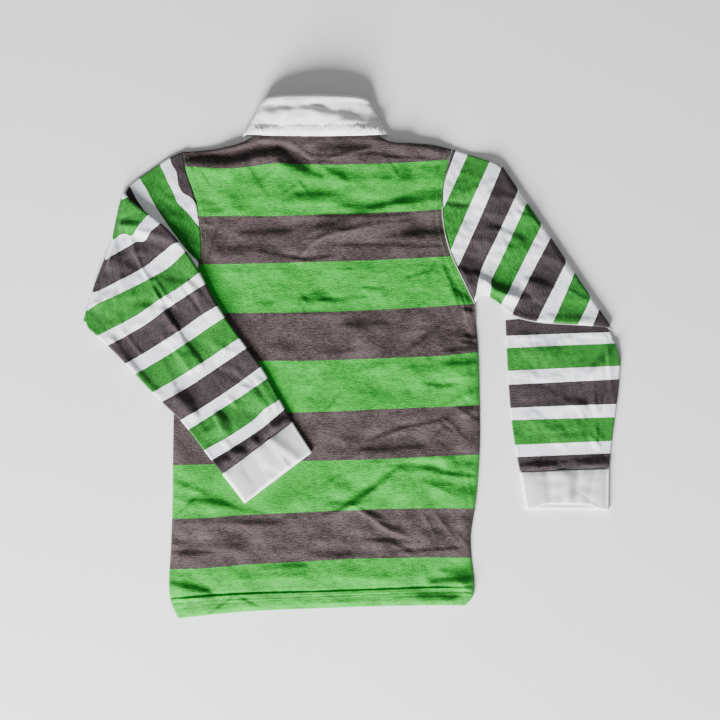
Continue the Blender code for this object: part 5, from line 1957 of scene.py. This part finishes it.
@dataclass
class Cuff:
    """A rib cuff, a short flattened tube with a rounded turned edge."""

    name: str
    node: str
    slot: str
    rulings: tuple
    level: float
    flat: tuple
    creases: tuple
    pulled: float
    height: float = 4.4
    wall: float = 1.7
    rings: int = 26
    layer_steps: int = 60
    end_steps: int = 10
    belly: float = 1.6
    length: float = 40.0
    seed: int = 41

    def build(self, material: bpy.types.Material) -> bpy.types.Object:
        """Make the cuff.

        Args:
            material: Its finish.

        Returns:
            The cuff.
        """
        loops = tube_section(self.height, self.wall, self.layer_steps, self.end_steps)
        count = len(loops[0])
        ripple = Ripple(self.seed, 34.0, 12.0, 1.0)
        ends = np.array([self.rulings[0], self.rulings[-1]])
        inward = (ends[0] - ends[1])[:2] + (ends[0] - ends[1])[2:]
        inward /= np.linalg.norm(inward)
        parts, knit, painted_highlights = [], [], []
        for step in range(self.rings):
            share = step / (self.rings - 1)
            ruling = curve_through(self.rulings, [share], by_length=False)[0]
            raised = self.belly * math.sin(math.pi * min(share * 0.8 + 0.1, 1.0))
            for loop in loops:
                plan = on_ruling(ruling, loop, self.height)
                up = np.clip(loop[:, 3], 0.0, 1.0)
                across = np.sin(math.pi * loop[:, 0])
                back = self.pulled * up * smoothstep(share, 0.55, 1.0) * smoothstep(across, 0.15, 0.75)
                plan = plan + inward * back[:, None]
                lift = (raised + 0.35 * (1.0 + ripple.at(plan[:, 0], plan[:, 1]))) * across
                lift += crease_height(plan[:, 0], plan[:, 1], self.creases) * np.sqrt(across)
                joined = 0.82 + 0.18 * float(smoothstep(share, 0.0, 0.15))
                z = self.level + loop[:, 2] * joined + up * np.maximum(lift, -0.6)
                parts.append(np.column_stack([plan, z]))
                knit.append(knit_ring(ruling, loop, share * (self.length * MM)))
                # Painted highlight along the turned edges and the far end.
                painted_highlight = np.maximum(smoothstep(share, 0.93, 0.97) * 0.9, 1.0 - smoothstep(across, 0.0, 0.05))
                painted_highlights.append(np.stack([painted_highlight * np.ones(count), np.zeros(count)], axis=1))
        faces = tube_faces(self.rings, count)
        mesh = ClothMesh(self.name, np.vstack(parts), faces, np.vstack(knit), np.vstack(painted_highlights))
        piece = mesh.build(material)
        face_out(piece)
        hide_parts(self.node)
        rests = ["back_jersey_panel"] if self.level > 1.0 else ["floor"]
        return piece


# --------------------------------------------------------------- the collar
@dataclass
class Collar:
    """The collar: stand, rolled fold and fall in one woven wall."""

    wall: float = 1.5
    loft: float = 1.4
    finer: int = 8
    stand_steps: int = 10
    roll_steps: int = 16
    fall_steps: int = 34

    @staticmethod
    def level_slopes(rows: np.ndarray) -> np.ndarray:
        """Work out slopes that never carry a curve past its rows.

        Args:
            rows: The rows' values.

        Returns:
            The slopes, in the same shape.
        """
        step = np.diff(rows, axis=0)
        slopes = np.zeros_like(rows)
        product = step[:-1] * step[1:]
        total = step[:-1] + step[1:]
        slopes[1:-1] = np.where(product > 0, 2.0 * product / np.where(total == 0, 1.0, total), 0.0)
        slopes[-1] = step[-1]
        slopes[0, [1, 4, 8]] = step[0, [1, 4, 8]]
        return slopes

    def sections(self) -> np.ndarray:
        """Shape the middle surface between the collar's rows.

        Returns:
            Sections of points, from the left leaf's end to the right's.
        """
        rows = np.array([row[:-1] for row in COLLAR_ROWS], dtype=float)
        slopes = self.level_slopes(rows)
        fine = [rows[0]]
        for i, row in enumerate(COLLAR_ROWS[:-1]):
            steps = row.steps * self.finer
            for s in range(1, steps + 1):
                t = s / steps
                fine.append((2 * t ** 3 - 3 * t * t + 1) * rows[i] + (t ** 3 - 2 * t * t + t) * slopes[i]
                            + (3 * t * t - 2 * t ** 3) * rows[i + 1] + (t ** 3 - t * t) * slopes[i + 1])
        fine = np.array(fine)
        rolls = np.vstack([fine[1, 4:7] * [-1, 1, 1], fine[:, 4:7], 2 * fine[-1, 4:7] - fine[-2, 4:7]])
        half = []
        for row, before, after in zip(fine, rolls[:-2], rolls[2:]):
            turn = math.radians(row[0])
            seam, roll, edge, radius = row[1:4], row[4:7], row[8:11], row[7]
            tangent = (after - before) / np.linalg.norm(after - before)
            across = np.array([math.cos(turn), 0.0, math.sin(turn)])
            across -= tangent * np.dot(across, tangent)
            across /= np.linalg.norm(across)
            bulge = np.cross(across, tangent)
            bulge *= np.sign(np.dot(bulge, roll - seam))
            stand_end, fall_start = roll - across * radius, roll + across * radius
            line = [seam + (stand_end - seam) * t for t in np.linspace(0, 1, self.stand_steps + 1)[:-1]]
            line += [roll + bulge * radius * math.cos(a) + across * radius * math.sin(a)
                     for a in np.linspace(-math.pi / 2, math.pi / 2, self.roll_steps + 1)]
            shares = np.linspace(0, 1, self.fall_steps + 1)[1:]
            line += [fall_start + (edge - fall_start) * t for t in shares]
            half.append(np.array(line))
        left = [np.stack([COLLAR_CENTRE_X - s[:, 0], s[:, 1], s[:, 2]], axis=1) for s in reversed(half)]
        right = [np.stack([COLLAR_CENTRE_X + s[:, 0], s[:, 1], s[:, 2]], axis=1) for s in half[1:]]
        return np.array(left + right)

    def build(self, material: bpy.types.Material) -> bpy.types.Object:
        """Make the collar.

        Args:
            material: Its finish.

        Returns:
            The collar.
        """
        grid = self.sections()
        rows, columns = grid.shape[:2]
        fall_from = self.stand_steps + self.roll_steps
        share = np.clip((np.arange(columns) - fall_from) / self.fall_steps, 0.0, 1.0)[None, :]
        x, y = grid[..., 0], grid[..., 1]
        on_top = smoothstep(grid[..., 2], 6.5, 8.5) * smoothstep(share, 0.0, 0.08)
        lift = crease_height(x, y, COLLAR_CREASES, steepest=0.6) + fold_height(x, y, COLLAR_FOLDS)[0]
        puckered = smoothstep(share, 0.6, 0.74) * (1.0 - smoothstep(share, 0.9, 1.0))
        pucker = Ripple(31, 9.0, 5.0, 0.5).at(x, y) * 0.42 * puckered
        swell = Ripple(32, 45.0, 14.0, 1.0).at(x, y) * 0.6 + Ripple(33, 14.0, 6.0, 1.0).at(x, y) * 0.15
        band = 0.9 * ridge(share - 0.70, 0.03) - 0.9 * ridge(share - 0.84, 0.07)
        grid[..., 2] += on_top * (lift + pucker + swell - band + self.loft)
        points = grid.reshape(-1, 3)
        steps, girth = lengths_along(grid[rows // 2]), lengths_along(grid[:, fall_from])
        knit = np.stack([np.repeat(girth, columns), np.tile(steps, rows)], axis=1) * MM
        # Painted highlight towards and along the outer edge of the fall.
        painted_highlight = smoothstep(share, 0.84, 0.93) * np.ones((rows, 1))
        painted_highlights = np.stack([painted_highlight.ravel(), np.zeros(painted_highlight.size)], axis=1)
        faces = [tuple(reversed(f)) for f in grid_faces(rows, columns)]
        piece = ClothMesh("collar_leaf", points, faces, knit, painted_highlights).build(material)
        shell = piece.modifiers.new("Cloth wall", "SOLIDIFY")
        shell.thickness = self.wall * MM
        shell.offset = 0.0
        shell.use_even_offset = True
        shell.use_quality_normals = True
        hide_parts("collar")
        return piece


# --------------------------------------------------------------- stitching
@dataclass
class Seam:
    """A row of small raised stitches, joined into one mesh."""

    name: str
    slot: str
    pitch: float = 2.4
    long: float = 1.8
    thick: float = 0.36
    sides: int = 6

    def build(self, runs: Sequence[np.ndarray], material: bpy.types.Material) -> bpy.types.Object:
        """Lay stitches along runs of surface points.

        Args:
            runs: Lines of (x, y, z) points in millimetres.
            material: The thread.

        Returns:
            The joined stitches.
        """
        n = self.sides
        around = [(math.cos(a), math.sin(a)) for a in np.linspace(0, 2 * math.pi, n + 1)[:-1]]
        profile = ((-0.5, 0.25), (-0.3, 0.9), (0.0, 1.0), (0.3, 0.9), (0.5, 0.25))
        points: list = []
        faces: list = []
        for run in runs:
            length = lengths_along(run)
            count = int(length[-1] / self.pitch)
            for s in (np.arange(count) + 0.5) * self.pitch:
                at, ahead, behind = read_at(np.array([s, s + 1.0, s - 1.0]), length, run)
                way = (ahead - behind) / max(np.linalg.norm(ahead - behind), 1e-9)
                sideways = np.cross(way, (0.0, 0.0, 1.0))
                sideways /= max(np.linalg.norm(sideways), 1e-9)
                up = np.cross(sideways, way)
                base = len(points)
                for t, r in profile:
                    for c, d in around:
                        off = (sideways * c + up * d) * r * self.thick / 2
                        points.append(at + way * t * self.long + off)
                faces += [tuple(base + i for i in f) for f in grid_faces(len(profile), n, closed=True)]
                faces.append(tuple(base + j for j in reversed(range(n))))
                faces.append(tuple(base + (len(profile) - 1) * n + j for j in range(n)))
        coords = np.array(points)[:, :2] * MM
        piece = ClothMesh(self.name, np.array(points), faces, coords, coords).build(material)
        face_out(piece)
        return piece


def offset_line(line: np.ndarray, off: float) -> np.ndarray:
    """Move a plan line to its left.

    Args:
        line: Rows of (x, y).
        off: How far.

    Returns:
        The moved rows.
    """
    way = np.gradient(line, axis=0)
    way /= np.linalg.norm(way, axis=1)[:, None]
    return line + np.stack([-way[:, 1], way[:, 0]], axis=1) * off


# --------------------------------------------------------------- the studio
@dataclass
class Studio:
    """Floor, soft lights and the overhead camera."""

    camera_x: float = 39.9
    camera_y: float = 12.6
    camera_z: float = 2400.0
    frame_width: float = 756.0
    sensor: float = 36.0

    def build(self) -> None:
        """Make the stage."""
        mesh = bpy.data.meshes.new("floor")
        mesh.from_pydata([(-3, -3, 0), (3, -3, 0), (3, 3, 0), (-3, 3, 0)], [], [(0, 1, 2, 3)])
        mesh.materials.append(FloorFinish().build())
        floor = bpy.data.objects.new("floor", mesh)
        bpy.context.scene.collection.objects.link(floor)

        world = bpy.data.worlds.new("studio")
        world.use_nodes = True
        world.node_tree.nodes["Background"].inputs["Color"].default_value = (1.0, 1.0, 1.0, 1.0)
        world.node_tree.nodes["Background"].inputs["Strength"].default_value = 0.30
        bpy.context.scene.world = world
        self.area("key", (-0.98, -2.34, 1.12), 1.6, 430.0)
        self.area("fill", (1.2, 1.4, 2.2), 2.5, 4.0)

        lens = bpy.data.cameras.new("overhead")
        lens.sensor_width = self.sensor
        lens.lens = self.sensor * self.camera_z / self.frame_width
        camera = bpy.data.objects.new("overhead", lens)
        camera.location = (self.camera_x * MM, self.camera_y * MM, self.camera_z * MM)
        bpy.context.scene.collection.objects.link(camera)
        bpy.context.scene.camera = camera

    @staticmethod
    def area(name: str, place: tuple, size: float, watts: float) -> None:
        """Add a soft round light that faces the shirt.

        Args:
            name: Its name.
            place: Where it stands, in metres.
            size: Its diameter.
            watts: Its power.
        """
        lamp = bpy.data.lights.new(name, "AREA")
        lamp.shape = "DISK"
        lamp.size = size
        lamp.energy = watts
        made = bpy.data.objects.new(name, lamp)
        made.location = place
        made.rotation_mode = "QUATERNION"
        made.rotation_quaternion = (-Vector(place)).to_track_quat("-Z", "Y")
        bpy.context.scene.collection.objects.link(made)


def stitch_lines(back: BackPanel) -> list:
    """Lay the seams' stitches on the back: two along the hem, two along each armhole.

    Args:
        back: The back panel.

    Returns:
        Lines of (x, y, z) points.
    """
    plan = [offset_line(back.hem_line, off)[2:-2] for off in back.hem_stitches]
    for armhole, sign in zip(back.armholes, (-1.0, 1.0)):
        plan += [offset_line(armhole, sign * off)[1:-1] for off in back.seam_stitches]
    return [on_back(back, line, back.stitch_lift) for line in plan]


def on_back(back: BackPanel, line: np.ndarray, above: float) -> np.ndarray:
    """Lift a plan line to `above` millimetres over the back's outside."""
    return np.column_stack([line, back.top(line[:, 0], line[:, 1]) + above])


def main() -> None:
    """Dress the shirt, piece by piece."""
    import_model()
    Studio().build()

    body_jersey = StripedJersey("striped body jersey", (Dye.TAUPE, Dye.GREEN), 0.014).build()
    sleeve_cycle = (Dye.WHITE, Dye.SHADED_SLEEVE_GREEN, Dye.WHITE, Dye.SHADED_SLEEVE_TAUPE)
    sleeve_jersey = StripedJersey("striped sleeve jersey", sleeve_cycle, 0.04).build()
    rib = CuffRib("white cuff rib").build()
    twill = Twill("white collar twill").build()
    body = Body()
    back = BackPanel(body)

    pieces = [
        FrontPanel(body).build(body_jersey, back.stripes),
        Placket().build(body_jersey, back.stripes),
        back.build(body_jersey),
        Sleeve(Side.LEFT, "sleeve_left_tube", "sleeve_left", "sleeve_jersey_left",
               LEFT_UPPER_ARM, LEFT_FOREARM, ARMHOLE_LEFT, LEFT_UPPER_MARKS, LEFT_LOWER_MARKS,
               LEFT_SLEEVE_CREASES, LEFT_UPPER_CREASES, LEFT_LOWER_FOLDS, LEFT_UPPER_FOLDS,
               (0.310, 0.330), 0.080, edge_puff=4.2, elbow_dent=3.4).build(sleeve_jersey),
        Sleeve(Side.RIGHT, "sleeve_right_tube", "sleeve_right", "sleeve_jersey_right",
               RIGHT_UPPER_ARM, RIGHT_FOREARM, ARMHOLE_RIGHT, RIGHT_UPPER_MARKS, RIGHT_LOWER_MARKS,
               RIGHT_LOWER_CREASES, RIGHT_UPPER_CREASES, RIGHT_LOWER_FOLDS, RIGHT_UPPER_FOLDS,
               (0.310, 0.330), 0.080, seed=24).build(sleeve_jersey),
        Cuff("cuff_left_rib", "cuff_left", "rib_left", LEFT_CUFF, 3.5, (0.184, 0.038),
             LEFT_CUFF_CREASES, 1.6).build(rib),
        Cuff("cuff_right_rib", "cuff_right", "rib_right", RIGHT_CUFF, 0.1, (0.184, 0.042),
             RIGHT_CUFF_CREASES, 5.5, seed=43).build(rib),
        Collar().build(twill),
    ]

    thread_green = Thread("green thread", (0.05, 0.18, 0.04), (0.12, 0.31, 0.09)).build()
    pieces.append(Seam("body_stitches", "back_jersey").build(stitch_lines(back), thread_green))
    edge = curve_through(SLEEVE_SEAM, np.linspace(0.0, 1.0, 80))
    rolled = on_back(back, back.armholes[1][:-14], 0.35)
    pale = Thread("pale seam edge", (0.36, 0.38, 0.33), (0.58, 0.60, 0.54)).build()
    seam_edge = Seam("sleeve_seam_edge", "sleeve_jersey_right", 1.3, 2.2, 0.9)
    pieces.append(seam_edge.build([edge, rolled], pale))

    for piece in pieces:
        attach(piece, "root")
        log.info("%s: %d faces", piece.name, len(piece.data.polygons))


if __name__ == "__main__":
    main()
